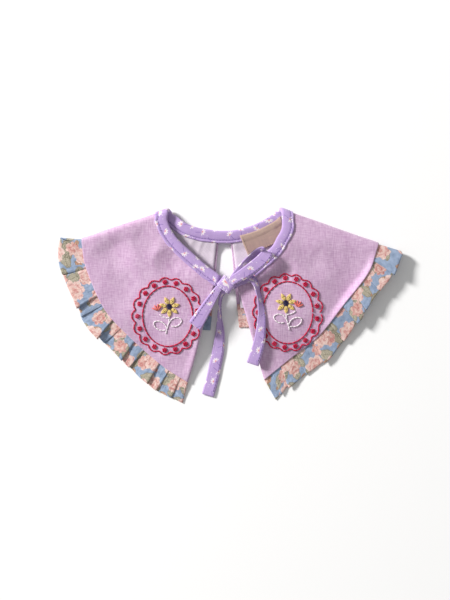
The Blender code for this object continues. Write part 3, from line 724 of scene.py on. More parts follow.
def make_cameo(name, skin, centre, inner, outer, mirror):
    surface = surface_of(skin["grid"][: front_steps + 1])
    turns = [2 * pi * n / oval_points for n in range(oval_points + 1)]

    def around(radii, angle, grow=1.0):
        return centre + Vector((radii[0] * cos(angle), radii[1] * sin(angle), 0.0)) * grow

    def scalloped(angle):
        lobe = abs(sin(scallop_count * angle / 2)) ** 0.75
        uneven = scallop_unevenness * ripple(3 * cos(angle), 3 * sin(angle), mirror)
        return 1 - scallop_depth * (1 - lobe) + uneven

    def spot(place):
        return centre + Vector((mirror * place[0] * MM, place[1] * MM, 0.0))

    def drawn(places):
        return smooth_line([spot(place) for place in places], 14)

    frame_strands = back_stitches(surface, [around(inner, angle) for angle in turns], 4.6 * MM, 0.3 * MM)
    edge = [around(outer, angle, scalloped(angle)) for angle in turns]
    frame_strands += back_stitches(surface, edge, 3.9 * MM, 0.25 * MM)
    for n in range(scallop_count):
        angle = 2 * pi * (n + 0.5) / scallop_count + 0.03 * ripple(n, mirror, 0.5)
        middle = blend(around(inner, angle), around(outer, angle), 0.46)
        lean = angle + 0.9 * ripple(n * 1.7, mirror, 2.5)
        frame_strands += knot_of_stitches(surface, middle, lean, 5.2 * MM)
    threads(f"{name}_frame_thread", frame_strands, frame_radius, crimson)

    stem_strands = back_stitches(surface, drawn(sprig_stem), 3.8 * MM, 0.2 * MM)
    stem_strands += back_stitches(surface, drawn(sprig_branch), 3.4 * MM, 0.2 * MM)
    for leaf in sprig_leaves:
        stem_strands += back_stitches(surface, drawn(leaf), 3.3 * MM, 0.15 * MM)
    threads(f"{name}_stem_thread", stem_strands, stem_radius, white_thread)

    petal_strands = []
    for n in range(petal_count):
        way = heading(2 * pi * (n + 0.25) / petal_count)
        root, tip = spot(flower_middle) + way * 3.0 * MM, spot(flower_middle) + way * 10.6 * MM
        petal_strands += petal_of_stitches(surface, root, tip, 3.4 * MM)
    threads(f"{name}_petal_thread", petal_strands, petal_radius, yellow_thread)

    heart_strands = knot_of_stitches(surface, spot(flower_middle), radians(20), 4.8 * MM, 4)
    threads(f"{name}_heart_thread", heart_strands, frame_radius, navy_thread)

    bud_strands = []
    root = spot(bud_middle) - heading(radians(90 - mirror * 40)) * 2.4 * MM
    for spread in (68, 34, 0, -34):
        way = heading(radians(90 - mirror * spread))
        bud_strands.append(fat_stitch(surface, root + way * 0.3 * MM, root + way * 6.2 * MM, 0.85 * MM))
    threads(f"{name}_bud_thread", bud_strands, bud_radius, coral_thread)


left_middle, right_middle = photo_place(167.7, 316.2), photo_place(287.7, 312.6)
make_cameo("left_cameo", skins[0], left_middle, (25 * MM, 30.2 * MM), (36 * MM, 38.8 * MM), -1)
make_cameo("right_cameo", skins[1], right_middle, (25 * MM, 31 * MM), (35.4 * MM, 39.2 * MM), 1)


# Ruffles: strips of printed cotton, gathered into the seam between panel and lining with their outer edge
# turned. Pressed knife folds are tucked under each other, their crests turned to the centre front, and the
# back is gathered more evenly.
ruffle_width = 23.0 * MM
seam_allowance = 4.0 * MM
turn_reach = 26.0 * MM
back_reach = 0.86
back_rise, back_tuck = 2.4 * MM, 4.0 * MM
rise_steps, fall_steps = 6, 14
ruffle_rows = [0.0, 0.06, 0.15, 0.28, 0.42, 0.56, 0.7, 0.83, 0.93, 1.0]
middle_row = 6
least_height = 0.45 * MM
crinkle_size, waver_size, crest_reach = 4.2 * MM, 13 * MM, 1.6 * MM
half_ruffle = 0.34 * MM
ruffle_depth = panel_wall + clearance + ruffle_wall / 2

# Folds as (at, rise, tuck) shares, and reaches as (at, share of the ruffle's width), along the front seam
left.update(
    rise=3.4 * MM,
    tuck=6.5 * MM,
    print_start=28.0 * MM,
    shoulder_turn=radians(18.0),
    point_turn=radians(-2.0),
    slant=-2.0 * MM,
    front_folds=[
        (0.05, 0.3, 0.1), (0.125, 0.45, 0.15), (0.205, 0.9, 1.1), (0.305, 0.6, 0.4), (0.39, 0.9, 1.3),
        (0.475, 0.3, 0.0), (0.565, 1.0, 1.6), (0.64, 0.4, 0.1), (0.71, 0.8, 0.9), (0.86, 0.3, 0.0),
    ],
    reaches=[
        (0.00, 0.98), (0.05, 1.00), (0.16, 1.07), (0.20, 1.02), (0.34, 0.97), (0.44, 0.96), (0.56, 1.03),
        (0.63, 1.10), (0.66, 0.98), (0.80, 1.04), (0.90, 1.12), (0.96, 1.08), (1.00, 0.97),
    ],
    back_folds=[
        (0.12, 0.7, 0.6), (0.26, 1.0, 0.8), (0.40, 0.9, 0.7), (0.55, 1.0, 0.8), (0.70, 0.9, 0.7),
        (0.86, 0.9, 0.7),
    ],
)
right.update(
    rise=2.4 * MM,
    tuck=3.0 * MM,
    print_start=0.0 * MM,
    shoulder_turn=radians(2.0),
    point_turn=radians(13.0),
    slant=3.0 * MM,
    front_folds=[
        (0.06, 0.7, 0.6), (0.13, 1.0, 1.3), (0.235, 0.4, 0.2), (0.36, 0.9, 1.0), (0.49, 0.4, 0.2),
        (0.62, 1.0, 0.8), (0.72, 0.9, 1.2), (0.83, 0.4, 0.25), (0.935, 1.0, 1.2),
    ],
    reaches=[
        (0.00, 1.05), (0.05, 0.97), (0.10, 0.90), (0.16, 0.97), (0.30, 1.02), (0.38, 1.06), (0.47, 0.98),
        (0.62, 1.00), (0.66, 1.08), (0.74, 1.02), (0.86, 0.97), (0.95, 1.10), (1.00, 1.12),
    ],
    back_folds=[
        (0.12, 0.7, 0.6), (0.27, 1.0, 0.8), (0.42, 0.9, 0.7), (0.57, 1.0, 0.8), (0.72, 0.8, 0.7),
        (0.88, 0.6, 0.6),
    ],
)


def within(add, reach, distance, edge):
    """A mask that is 1 where the reach is more than the distance, with an edge this soft."""
    over = add("Math", (reach, distance), operation="SUBTRACT")
    return add("Math", (over, edge), operation="DIVIDE", use_clamp=True)


def spots(add, uv, pitch, randomness, start=(0, 0, 0)):
    """Scattered places: x and y from the nearest one along its own way, then radius, angle and a chance."""
    at = add("Mapping", {"Vector": uv, "Location": start, "Scale": (1 / pitch, 1 / pitch, 1)})
    scatter = {"Vector": at, "Scale": 1.0, "Randomness": randomness}
    cells = add("TexVoronoi", scatter, None, voronoi_dimensions="2D", feature="F1")
    chance = add("SeparateColor", (cells["Color"],), None)
    away = add("VectorMath", (at, cells["Position"]), operation="SUBTRACT")
    away = add("VectorMath", (away, (pitch, pitch, 0)), operation="MULTIPLY")
    turn = add("Math", (chance[0], 2 * pi), operation="MULTIPLY")
    around = {"Vector": away, "Axis": (0, 0, 1), "Angle": turn}
    turned_away = add("VectorRotate", around, rotation_type="AXIS_ANGLE")
    x, y = add("SeparateXYZ", (turned_away,), None)[:2]
    angle = add("Math", (y, x), operation="ARCTAN2")
    return x, y, add("VectorMath", (turned_away,), 1, operation="LENGTH"), angle, chance[1]


def petals(add, radius, angle, size, depth, count, edge):
    """A round flower's mask, with lobes."""
    turns = add("Math", (angle, count / 2), operation="MULTIPLY")
    lobes = add("Math", (add("Math", (turns,), operation="SINE"),), operation="ABSOLUTE")
    reach = add("Math", (lobes, size * depth, size * (1 - depth)), operation="MULTIPLY_ADD")
    return within(add, reach, radius, edge)


def stroke(add, x, y, half_width, start, end, edge):
    """A straight line's mask along y, from start to end."""
    beside = add("Math", (x,), operation="ABSOLUTE")
    along = add("Math", (y, (start + end) / 2), operation="SUBTRACT")
    along = add("Math", (along,), operation="ABSOLUTE")
    masks = within(add, half_width, beside, edge), within(add, abs(end - start) / 2, along, edge)
    return add("Math", masks, operation="MULTIPLY")


# Lawn cotton, screen printed: matt, crisp in its folds, with blown roses and olive leaves on washed slate
# blue. Its threads, about 0.3 mm apart, are drawn at 0.42 mm. A leaf is 18 to 20 mm long, a rose 15 to 22 mm
def floral_cotton():
    made, add, uv = fabric("floral_print", 0.85, 0.2)
    height, _ = weave(add, uv, 0.42, 0.25)
    wander = add("TexNoise", {"Vector": uv, "Scale": 0.28, "Detail": 3.0}, 1)
    wander = add("VectorMath", (wander, (0.5, 0.5, 0.5)), operation="SUBTRACT")
    ragged = add("VectorMath", (wander, (4.2, 4.2, 0), uv), operation="MULTIPLY_ADD")
    swirl = add("TexNoise", {"Vector": uv, "Scale": 0.2, "Detail": 4.0})
    washed = add("Math", (swirl, 2.2, -0.6), operation="MULTIPLY_ADD", use_clamp=True)
    colour = printed(add, rgb("#b1c2dd"), [(washed, rgb("#889bb9"))])
    # Small buds, then two sizes of leaves: pitch, start, half width and half length in mm, and two tones
    for pitch, start, width, length, light, dark in (
        (19.0, (4.1, 2.2, 0), 2.2, 4.2, "#dba48d", "#b97c66"),
        (24.0, (0, 0, 0), 4.6, 8.8, "#cac1b0", "#9a907d"),
        (28.0, (5.3, 7.2, 0), 5.4, 9.6, "#bab1a0", "#877e6b"),
    ):
        x, y, _, _, _ = spots(add, ragged, pitch, 0.75, start)
        oval = []
        for way, reach in ((x, width), (y, length)):
            out = add("Math", (way, reach), operation="DIVIDE")
            oval.append(add("Math", (out, 2.0), operation="POWER"))
        oval = add("Math", oval, operation="ADD")
        beside = add("Math", (x,), operation="ABSOLUTE")
        slant = add("Math", (beside, -0.9, y), operation="MULTIPLY_ADD")
        waves = add("Math", (add("Math", (slant, 2.9), operation="MULTIPLY"),), operation="SINE")
        lines = within(add, waves, 0.5, 0.4), stroke(add, x, y, 0.3, -length, length, 0.25)
        veins, rib = [add("Math", (line, 0.8), operation="MULTIPLY") for line in lines]
        tone = add("TexNoise", {"Vector": uv, "Scale": 0.5, "Detail": 3.0})
        leaf = printed(add, rgb(light), [(tone, rgb(dark)), (veins, rgb("#d5ceb2")), (rib, rgb("#6a634c"))])
        leaf = printed(add, rgb("#857f6a"), [(within(add, 1.0, oval, 0.5), leaf)])
        colour = printed(add, colour, [(within(add, 1.0, oval, 0.16), leaf)])
    # Two sizes of roses: pitch, start and radius in mm, and two tones
    for pitch, start, size, light, dark in (
        (27.0, (2.7, 6.1, 0), 7.4, "#f0c6bc", "#d39a92"),
        (31.0, (8.3, 1.4, 0), 11.2, "#f9dbd3", "#e2aba1"),
    ):
        _, _, radius, angle, _ = spots(add, ragged, pitch, 0.6, start)
        depth = add("Math", (radius, size), operation="DIVIDE", use_clamp=True)
        wash = add("TexNoise", {"Vector": uv, "Scale": 0.4, "Detail": 4.0})
        wash = add("Math", (wash, 2.4, -1.1), operation="MULTIPLY_ADD")
        inks = [(add("Math", (depth, 0.7, wash), operation="MULTIPLY_ADD", use_clamp=True), rgb(light))]
        winding = add("Math", (radius, 0.95, angle), operation="MULTIPLY_ADD")
        winding = add("Math", (swirl, 12.0, winding), operation="MULTIPLY_ADD")
        # The petals' drawn edges and then their glints: turn, least wave, softness, strength and ink
        for turn, least, edge, strength, ink in (
            (0.0, 0.8, 0.25, 0.7, "#c0525b"),
            (2.6, 0.55, 0.45, 0.5, "#fbe8df"),
        ):
            wave = add("Math", (add("Math", (winding, turn), operation="ADD"),), operation="SINE")
            line = within(add, wave, least, edge)
            inks.append((add("Math", (line, strength), operation="MULTIPLY"), rgb(ink)))
        rose = printed(add, rgb(dark), inks)
        colour = printed(add, colour, [(petals(add, radius, angle, size, 0.22, 7, 0.4), rose)])
    creases = add("Mapping", {"Vector": uv, "Scale": (0.42, 0.16, 1)})
    creases = add("TexNoise", {"Vector": creases, "Scale": 1.0, "Detail": 3.0, "Roughness": 0.55})
    height = add("Math", (creases, 4.0, height), operation="MULTIPLY_ADD")
    return dressed(made, colour, height, 0.7, 0.5 * MM)


floral_print = floral_cotton()


def seam_of(skin):
    """The seam's points on the cloth's mid layer, with the directions up and outwards."""
    last, before = len(shares) - 1, len(shares) - 8
    line, header, out = [], [], []
    count = len(skin["grid"])
    for i in range(count):
        normal = skin["normals"][i][last]
        edge = skin["grid"][i][last] - normal * ruffle_depth
        inside = skin["grid"][i][before] - skin["normals"][i][before] * ruffle_depth
        rung = (edge - inside).normalized()
        tangent = skin["grid"][min(i + 3, count - 1)][last] - skin["grid"][max(i - 3, 0)][last]
        square = (rung - rung.project(tangent)).normalized()
        share = 0.75 * min(min(i, count - 1 - i) / 12, 1.0)
        line.append(edge)
        header.append(edge - rung * seam_allowance)
        out.append(blend(rung, square, share).normalized())
    turn_ends(skin["half"], lengths_of(line), out)
    return line, header, out


def turn_ends(half, lengths, out):
    """At the shoulder's fold and at the front point the ruffle lies turned a little aside."""
    for i, outwards in enumerate(out):
        before = max(lengths[front_steps] - lengths[i], 0.0)
        behind = max(lengths[i] - lengths[front_steps + roll_steps], 0.0)
        turn = half["shoulder_turn"] * smoothstep(1 - max(before, behind) / turn_reach)
        turn += half["point_turn"] * smoothstep(1 - lengths[i] / turn_reach)
        outwards.rotate(Quaternion(UP, half["side"] * turn))


def fold_samples(folds, length, rise, tuck):
    """Samples along a folded strip, as (distance, lift, how far it is tucked back)."""
    crests = [(at * length, height * rise, depth * tuck) for at, height, depth in folds]
    samples = [(crests[0][0] * n / rise_steps, 0.0, 0.0) for n in range(rise_steps)]
    for start, end in zip(crests, [*crests[1:], (length, 0.0, 0.0)]):
        for n in range(rise_steps):
            u = n / rise_steps
            samples.append((start[0], start[1] * smoothstep(u), start[2] * smoothstep(u)))
        reach = end[0] - start[0]
        for n in range(fall_steps):
            u = n / fall_steps
            lift = start[1] * (1 - smoothstep(u * 0.95)) * (1 - 0.12 * sin(pi * u))
            samples.append((start[0] + reach * u, lift, start[2] * (1 - u) ** 1.3))
    samples.append((length, 0.0, 0.0))
    return samples


def ruffle_strip(skin, seam):
    """Lines of the ruffle from header to free edge, with their flat pattern."""
    half = skin["half"]
    line, header, out = seam
    lengths = lengths_of(line)
    roll_end = front_steps + roll_steps
    front_length = lengths[front_steps]
    back_start, back_length = lengths[roll_end], lengths[-1] - lengths[roll_end]
    front = fold_samples(half["front_folds"], front_length, half["rise"], half["tuck"])
    behind = fold_samples(half["back_folds"], back_length, back_rise, back_tuck)
    samples = [("front", *row) for row in front]
    samples += [("roll", lengths[i], 0.0, 0.0) for i in range(front_steps + 1, roll_end)]
    samples += [("back", back_start + at, lift, tuck) for at, lift, tuck in behind]
    grid = []
    for zone, at, lift, tuck in samples:
        cells = [pick(header, place_at(lengths, at))]
        for share in ruffle_rows:
            slid = at - tuck * (0.45 + 0.55 * share)
            slid -= half["slant"] * share * min(at / (8 * MM), 1.0) * (zone == "front")
            place = place_at(lengths, slid)
            base, outwards = pick(line, place), pick(out, place).normalized()
            stand = lift * (0.3 + 0.7 * smoothstep(share))
            crinkle = ripple(slid / crinkle_size, share * 1.3, 3.0 * half["side"])
            stand += crinkle * blend(0.55, 0.3, share) * MM * smoothstep(share * 4)
            reach = ruffle_width * (1 + 0.045 * ripple(slid / waver_size, 2.0, half["side"]))
            if zone == "front":
                reach *= row_at(half["reaches"], min(at / front_length, 1.0))[0]
            elif zone == "roll":
                turn = smoothstep((place - front_steps) / roll_steps)
                reach *= blend(half["reaches"][-1][1], back_reach, turn)
            else:
                reach *= back_reach
            reach += crest_reach * (lift / half["rise"] - 0.4) * (zone == "front")
            point = base + outwards * reach * share
            if zone == "front":
                low = blend(least_height, front_top - ruffle_depth, row_at(lofts, at / front_length)[3])
                low = min(low, base.z)
            elif zone == "back":
                low = least_height
            else:
                low = blend(base.z, least_height, ((place - front_steps) / roll_steps) ** 3)
            point.z = max(blend(base.z, low, smoothstep(share)) + stand, least_height)
            cells.append(point)
        grid.append(cells)
    cut_rows = [-seam_allowance / ruffle_width, *ruffle_rows]
    along = [at + half["print_start"] for at in lengths_of([cells[middle_row] for cells in grid])]
    return grid, [[Vector((at, ruffle_width * share, 0)) for share in cut_rows] for at in along]


def make_ruffle(skin):
    name, side = skin["half"]["name"], skin["half"]["side"]
    grid, flat = ruffle_strip(skin, seam_of(skin))
    normals = normals_of(grid, side)
    outer = offset_grid(grid, normals, lambda i, j: -half_ruffle)
    inner = offset_grid(grid, normals, lambda i, j: half_ruffle)
    made = cloth(f"{name}_ruffle_cloth", outer, inner, flat, side < 0, floral_print, 0.15 * MM)
    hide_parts(f"{name}_ruffle")
    return made, flat


for skin in skins:
    ruffle, strip = make_ruffle(skin)


# Linings: white cotton behind each panel, cut to the same pattern and sewn to it round the neck and the
# seam, with the ruffle between them. Each is a little wide for the back of the neck, so folds hang there.

# Bleached cotton, plain woven: smooth and matt. Its threads, about 0.3 mm apart, are drawn at 0.42 mm
cotton = woven("white_cotton", "#e2d5e2", "#d5c8d5", 0.42, 0.3, 0.3, 0.9, 0.15)


def lining_depth(i, j):
    """How deep the lining lies under the panel's face. The ruffle's allowance parts them at the seam."""
    parted = smoothstep((shares[j] - 0.8) / 0.12)
    return panel_wall + clearance + (ruffle_wall + clearance) * parted


def lining_folds(skin, i, j):
    """Soft folds that hang from the back neckline, where the lining is a little too wide."""
    kind, way, _, _ = skin["stations"][i]
    small = wrinkle(skin["flat"][i][j], 16 * MM, 0.18 * MM, 4)
    if kind != "back":
        return small
    hanging = smoothstep((shares[j] - 0.04) / 0.12) * (1 - smoothstep((shares[j] - 0.35) / 0.45))
    fold = ripple(i * 0.3, shares[j] * 0.8, 6.0 + skin["half"]["side"])
    return small + 1.1 * MM * max(fold + 0.1, 0.0) * hanging * smoothstep((back_steps * (1 - way)) / 4)


def make_lining(skin):
    """The lining stops just inside the turned edges."""
    name, faces_out = skin["half"]["name"], skin["half"]["side"] < 0

    def depth_within(i, j):
        return lining_depth(i, j) + lining_wall + lining_folds(skin, i, j)

    outer = offset_grid(skin["grid"], skin["normals"], lining_depth)[1:-1]
    inner = offset_grid(skin["grid"], skin["normals"], depth_within)[1:-1]
    made = cloth(f"{name}_lining_cloth", outer, inner, skin["flat"][1:-1], faces_out, cotton, 0.2 * MM)
    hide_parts(f"{name}_lining")
    return made, inner


lining_faces = []
for skin in skins:
    lining, inner_face = make_lining(skin)
    lining_faces.append(inner_face)


# Label: a bare folded tape of beige satin cotton, tucked under the back binding, that lies on the lining.
# It is sewn down along one end and its lower edge with a tan thread.
label_length, label_depth, label_wall = 45 * MM, 21.5 * MM, 0.9 * MM
label_slant = radians(23.5)
label_corner = on_table(right, 15.4 * MM, 27.2 * MM)
label_tuck = 6.6 * MM
tuck_search, tuck_step = 8 * MM, 0.25 * MM
label_steps, label_rows = 36, 16
label_lift, binding_lift = 0.25 * MM, 1.5 * MM

# Woven label tape: closer and smoother than the linen. Its ribs, about 0.3 mm apart, are drawn at 0.5 mm
label_tape = woven("label_tape", "#c6a99b", "#baa095", 0.5, 0.35, 0.45, 0.85, 0.15)
tan_thread = stranded_cotton("tan_thread", "#dccab4", "#b39c86")


def make_label(skin, lining_rows):
    surface = surface_of(lining_rows)
    along, down = heading(label_slant), heading(label_slant - pi / 2)
    neckline = [station[2] for station in skin["stations"][-back_steps - 1 :]]

    def from_neck(place):
        return min((place - point).length for point in neckline)

    grid, flat = [], []
    for n in range(label_steps + 1):
        u, start = n / label_steps, -tuck_search
        top = label_corner + along * label_length * u
        while start < tuck_search and from_neck(top + down * start) <= label_tuck:
            start += tuck_step
        cells, least = [], []
        for m in range(label_rows + 1):
            v = m / label_rows
            place = top + down * blend(start, label_depth, v)
            wave = 0.35 * MM * ripple(u * 3.1, v * 1.2, 8.8) * smoothstep(v * 2)
            over = smoothstep((binding_width + 1.4 * MM - from_neck(place)) / (1.6 * MM))
            hit, _ = dropped(surface, place)
            least.append(hit.z + label_wall / 2 + label_lift + binding_lift * over)
            cells.append(Vector((place.x, place.y, max(wave, 0.0))))
        for m, cell in enumerate(cells):
            cell.z += max(blend(least[0], least[-1] + 0.3 * MM, m / label_rows), least[m])
        depths = [blend(start, label_depth, m / label_rows) for m in range(label_rows + 1)]
        grid.append(cells)
        flat.append([Vector((label_length * u, depth, 0)) for depth in depths])
    normals = normals_of(grid, 1)

    def thick(i, j):
        rim = min(i, label_steps - i, j, label_rows - j)
        return label_wall / 2 * (0.55 if rim == 0 else 1.0)

    top = offset_grid(grid, normals, lambda i, j: -thick(i, j))
    below = offset_grid(grid, normals, thick)
    made = cloth("label_cloth", top, below, flat, False, label_tape, 0.12 * MM)
    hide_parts("label")
    return made, flat, top


label_cloth, label_flat, label_top = make_label(skins[1], lining_faces[1][-back_steps:])
label_edge = [row[-2] for row in reversed(label_top[1:])] + [label_top[1][m] for m in range(14, 0, -1)]
label_stitches = run_of_stitches(label_edge, [UP] * len(label_edge), 2.0 * MM, 0.8 * MM, 0.22 * MM, 0.1)
threads("label_stitching", label_stitches, 0.26 * MM, tan_thread, 5)


# Neck binding: one bias tape folded over the whole neckline and sewn through with a tonal violet thread. The
# stitch line lies in a groove, with the tape's outer edge standing up beside it in a soft, puckered ridge.

# The tape's face as (distance from the fold, height over the panel) in millimetres
tape_face = [
    (12.0, 0.35), (12.12, 0.85), (11.7, 1.22), (10.9, 1.36), (10.1, 1.22), (9.5, 0.86), (9.1, 0.82),
    (8.6, 1.12), (7.6, 1.32), (5.6, 1.42), (3.4, 1.4), (1.8, 1.28), (0.75, 0.92), (0.16, 0.2),
]
middle_of_face = 9
groove_in_front = 6
groove_behind = 2 * len(tape_face) - groove_in_front
bridge_steps = 8


# Bias-cut cotton, printed with small half daisies on stems and with pin dots: matt and a little fuzzy.
# Its threads, about 0.3 mm apart, are drawn at 0.4 mm. A daisy is about 8 mm across, a dot under 1 mm
def daisy_tape():
    made, add, uv = fabric("violet_print", 0.8, 0.25)
    height, slubs = weave(add, uv, 0.4, 0.25)
    tone = add("Math", (slubs, 0.8, -0.3), operation="MULTIPLY_ADD", use_clamp=True)
    _, _, radius, _, chance = spots(add, uv, 6.3, 0.9, (3.1, 8.2, 0))
    kept = add("Math", (chance, 0.45), operation="GREATER_THAN")
    dots = add("Math", (within(add, 0.45, radius, 0.15), kept), operation="MULTIPLY")
    x, y, radius, angle, _ = spots(add, uv, 13.5, 0.6)
    stems = stroke(add, x, y, 0.36, -6.4, -1.2, 0.25)
    fray = add("Math", (radius, 0.7), operation="SUBTRACT")
    fray = add("Math", (add("TexNoise", {"Vector": uv, "Scale": 1.1}), 1.4, fray), operation="MULTIPLY_ADD")
    from_heart = (add("CombineXYZ", (x, y)), (0.3, 0.2, 0))
    from_heart = add("VectorMath", from_heart, 1, operation="DISTANCE")
    rounds = petals(add, fray, angle, 3.9, 0.4, 9, 0.5), within(add, 1.15, from_heart, 0.5)
    upper_half = within(add, y, -0.5, 0.6)
    daisies, hearts = [add("Math", (part, upper_half), operation="MULTIPLY") for part in rounds]
    inks = [(tone, "#b193c9"), (dots, "#f0e4f4"), (stems, "#7f62ad")]
    inks += [(daisies, "#efe3ea"), (hearts, "#e58f9b")]
    colour = printed(add, rgb("#c6abde"), [(mask, rgb(ink)) for mask, ink in inks])
    return dressed(made, colour, height, 0.35, 0.3 * MM)


violet_print = daisy_tape()
violet_thread = stranded_cotton("violet_thread", "#9c7fc0", "#7d62a5")


def tape_section():
    """The folded tape's outline round the neck edge, as (distance, height): face, fold, back and inside."""
    face = [(distance * MM, height * MM) for distance, height in tape_face]
    back = [(distance, -layers - height) for distance, height in reversed(face)]
    inside, gap = 1.0 * MM, 0.28 * MM
    hollow = [(12 * MM, -layers - gap), (inside, -layers - gap), (inside, gap), (12 * MM, gap)]
    return [*face, (0.0, -layers / 2), *back, *hollow]


def binding_ring(skin, index, section):
    """The tape's outline at one station, with its outer edge a little wavy and its faces puckered."""
    side = skin["half"]["side"]
    normal = skin["normals"][index][2]
    pucker = ripple(index * 0.55, 0.3, side) * 0.16 * MM
    wave = ripple(index * 0.21, 4.3, side) * 0.45 * MM
    ring = []
    for distance, height in section:
        on_face = height > 0.5 * MM or height < -layers - 0.5 * MM
        spread = wave * smoothstep((distance - 6 * MM) / (6 * MM))
        place = skin_point(skin, index, 0.0, from_fold=distance + spread)
        ring.append(place + normal * (height + (pucker if on_face else 0.0)))
    return ring


def make_binding():
    section = tape_section()
    one, other = [
        [binding_ring(skin, index, section) for index in range(len(skin["stations"]))] for skin in skins
    ]
    other.reverse()
    bridge = [
        [blend(a, b, n / bridge_steps) for a, b in zip(one[-1], other[0])] for n in range(1, bridge_steps)
    ]
    rings = [*one, *bridge, *other]
    start = [b + (b - a).normalized() * 4.7 * MM for a, b in zip(rings[2], rings[0])]
    end = [b + (b - a).normalized() * 4.0 * MM for a, b in zip(rings[-3], rings[-1])]
    rings = [start, *rings, end]
    along = lengths_of([ring[middle_of_face] for ring in rings])
    round_it = [0.0]
    for a, b in zip(section, section[1:]):
        round_it.append(round_it[-1] + hypot(b[0] - a[0], b[1] - a[1]))
    uvs = [Vector((at, across, 0)) for at in along for across in round_it]
    faces = tube_faces(len(rings), len(section))
    made = add_mesh("neck_tape", [point for ring in rings for point in ring], faces, uvs, violet_print)
    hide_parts("neck_binding")
    return rings


def binding_stitches(rings, corner, sign):
    line = [ring[corner] for ring in rings]
    ups = []
    for n, ring in enumerate(rings):
        ahead = line[n + 1] - line[n] if n + 1 < len(line) else line[n] - line[n - 1]
        along_face = (ring[corner + 2] - ring[corner - 2]).normalized()
        ups.append(along_face.cross(ahead).normalized() * sign)
    return run_of_stitches(line, ups, 2.4 * MM, 0.6 * MM, 0.3 * MM, 0.1)


tape_rings = make_binding()
probe, after_probe = tape_rings[len(tape_rings) // 4], tape_rings[len(tape_rings) // 4 + 1]
ahead = after_probe[groove_in_front] - probe[groove_in_front]
facing = (probe[groove_in_front + 2] - probe[groove_in_front - 2]).cross(ahead)
outside = 1 if facing.dot(probe[groove_in_front] - probe[groove_behind]) > 0 else -1
binding_thread = [
    *binding_stitches(tape_rings, groove_in_front, outside),
    *binding_stitches(tape_rings, groove_behind, outside),
]
threads("binding_topstitch", binding_thread, 0.3 * MM, violet_thread, 5)


# Bow: the tape's two ends, tied by hand at the front of the neck. Each tie is the bias tape folded in four,
# thick and soft-edged, and stitched along one side with the tonal thread. The ends are hemmed.

# Points of each tie: out, beside, lift and width shares, then a turn about its own line in degrees
right_loop = (
    radians(34.0),
    [
        (0.10, -0.02, 0.36, 0.66, 0), (0.17, 0.00, 0.34, 0.72, 0), (0.30, 0.18, 0.30, 0.84, -10),
        (0.55, 0.46, 0.24, 0.96, -28), (0.76, 0.64, 0.24, 1.0, -40), (0.88, 0.60, 0.38, 1.0, -36),
        (0.95, 0.42, 0.70, 0.98, -22), (0.915, 0.17, 1.02, 0.98, -8), (0.77, 0.01, 1.12, 1.0, 2),
        (0.57, -0.07, 1.04, 1.0, 6), (0.32, -0.08, 0.84, 0.9, 4), (0.17, -0.02, 0.74, 0.76, 0),
        (0.09, 0.00, 0.66, 0.66, 0),
    ],
)
left_loop = (
    radians(232.8),
    [
        (0.11, -0.24, 0.10, 0.52, 0), (0.18, -0.30, 0.04, 0.60, 0), (0.30, -0.25, -0.04, 0.70, 0),
        (0.56, -0.16, -0.12, 0.93, 0), (0.84, -0.06, -0.15, 1.10, 0), (0.93, -0.03, -0.12, 1.14, 0),
        (0.955, -0.03, 0.06, 1.14, 0), (0.93, -0.03, 0.25, 1.14, 0), (0.82, -0.06, 0.30, 1.10, 0),
        (0.56, -0.16, 0.36, 0.93, 0), (0.30, -0.25, 0.42, 0.70, 0), (0.18, -0.30, 0.44, 0.60, 0),
        (0.11, -0.24, 0.42, 0.52, 0),
    ],
)
left_tail = (
    radians(260.5),
    [
        (0.050, -0.05, 1.12, 0.42, 0), (0.084, -0.17, 1.02, 0.38, 20), (0.126, -0.28, 0.96, 0.32, 40),
        (0.206, -0.24, 0.74, 0.36, 50), (0.302, -0.10, 0.44, 0.48, 35), (0.433, 0.13, 0.16, 0.76, 10),
        (0.583, 0.23, 0.03, 0.95, 0), (0.718, 0.20, 0.01, 1.0, 0), (0.854, 0.15, 0.00, 1.0, 0),
        (1.0, 0.0, 0.00, 1.0, 0),
    ],
)
right_tail = (
    radians(288.2),
    [
        (0.005, 0.40, 0.26, 0.45, 0), (0.022, 0.80, 0.20, 0.55, 0), (0.010, 1.38, 0.20, 0.62, 0),
        (0.020, 1.95, 0.22, 0.66, 8), (0.080, 2.22, 0.26, 0.62, 26), (0.181, 2.22, 0.24, 0.54, 42),
        (0.313, 2.14, 0.17, 0.54, 36), (0.466, 1.94, 0.08, 0.66, 16), (0.643, 1.49, 0.06, 0.82, 4),
        (0.823, 0.86, -0.03, 0.96, 0), (1.0, 0.0, -0.32, 1.0, 0),
    ],
)
tie_width = 12.5 * MM
tie_thickness = 1.8 * MM
tie_steps, tie_columns = 90, 16
tie_groove = 13.2
stitched_column = 3
over_base = knot_base + clearance + tie_thickness / 2
tail_base = neck_top + clearance + tie_thickness / 2


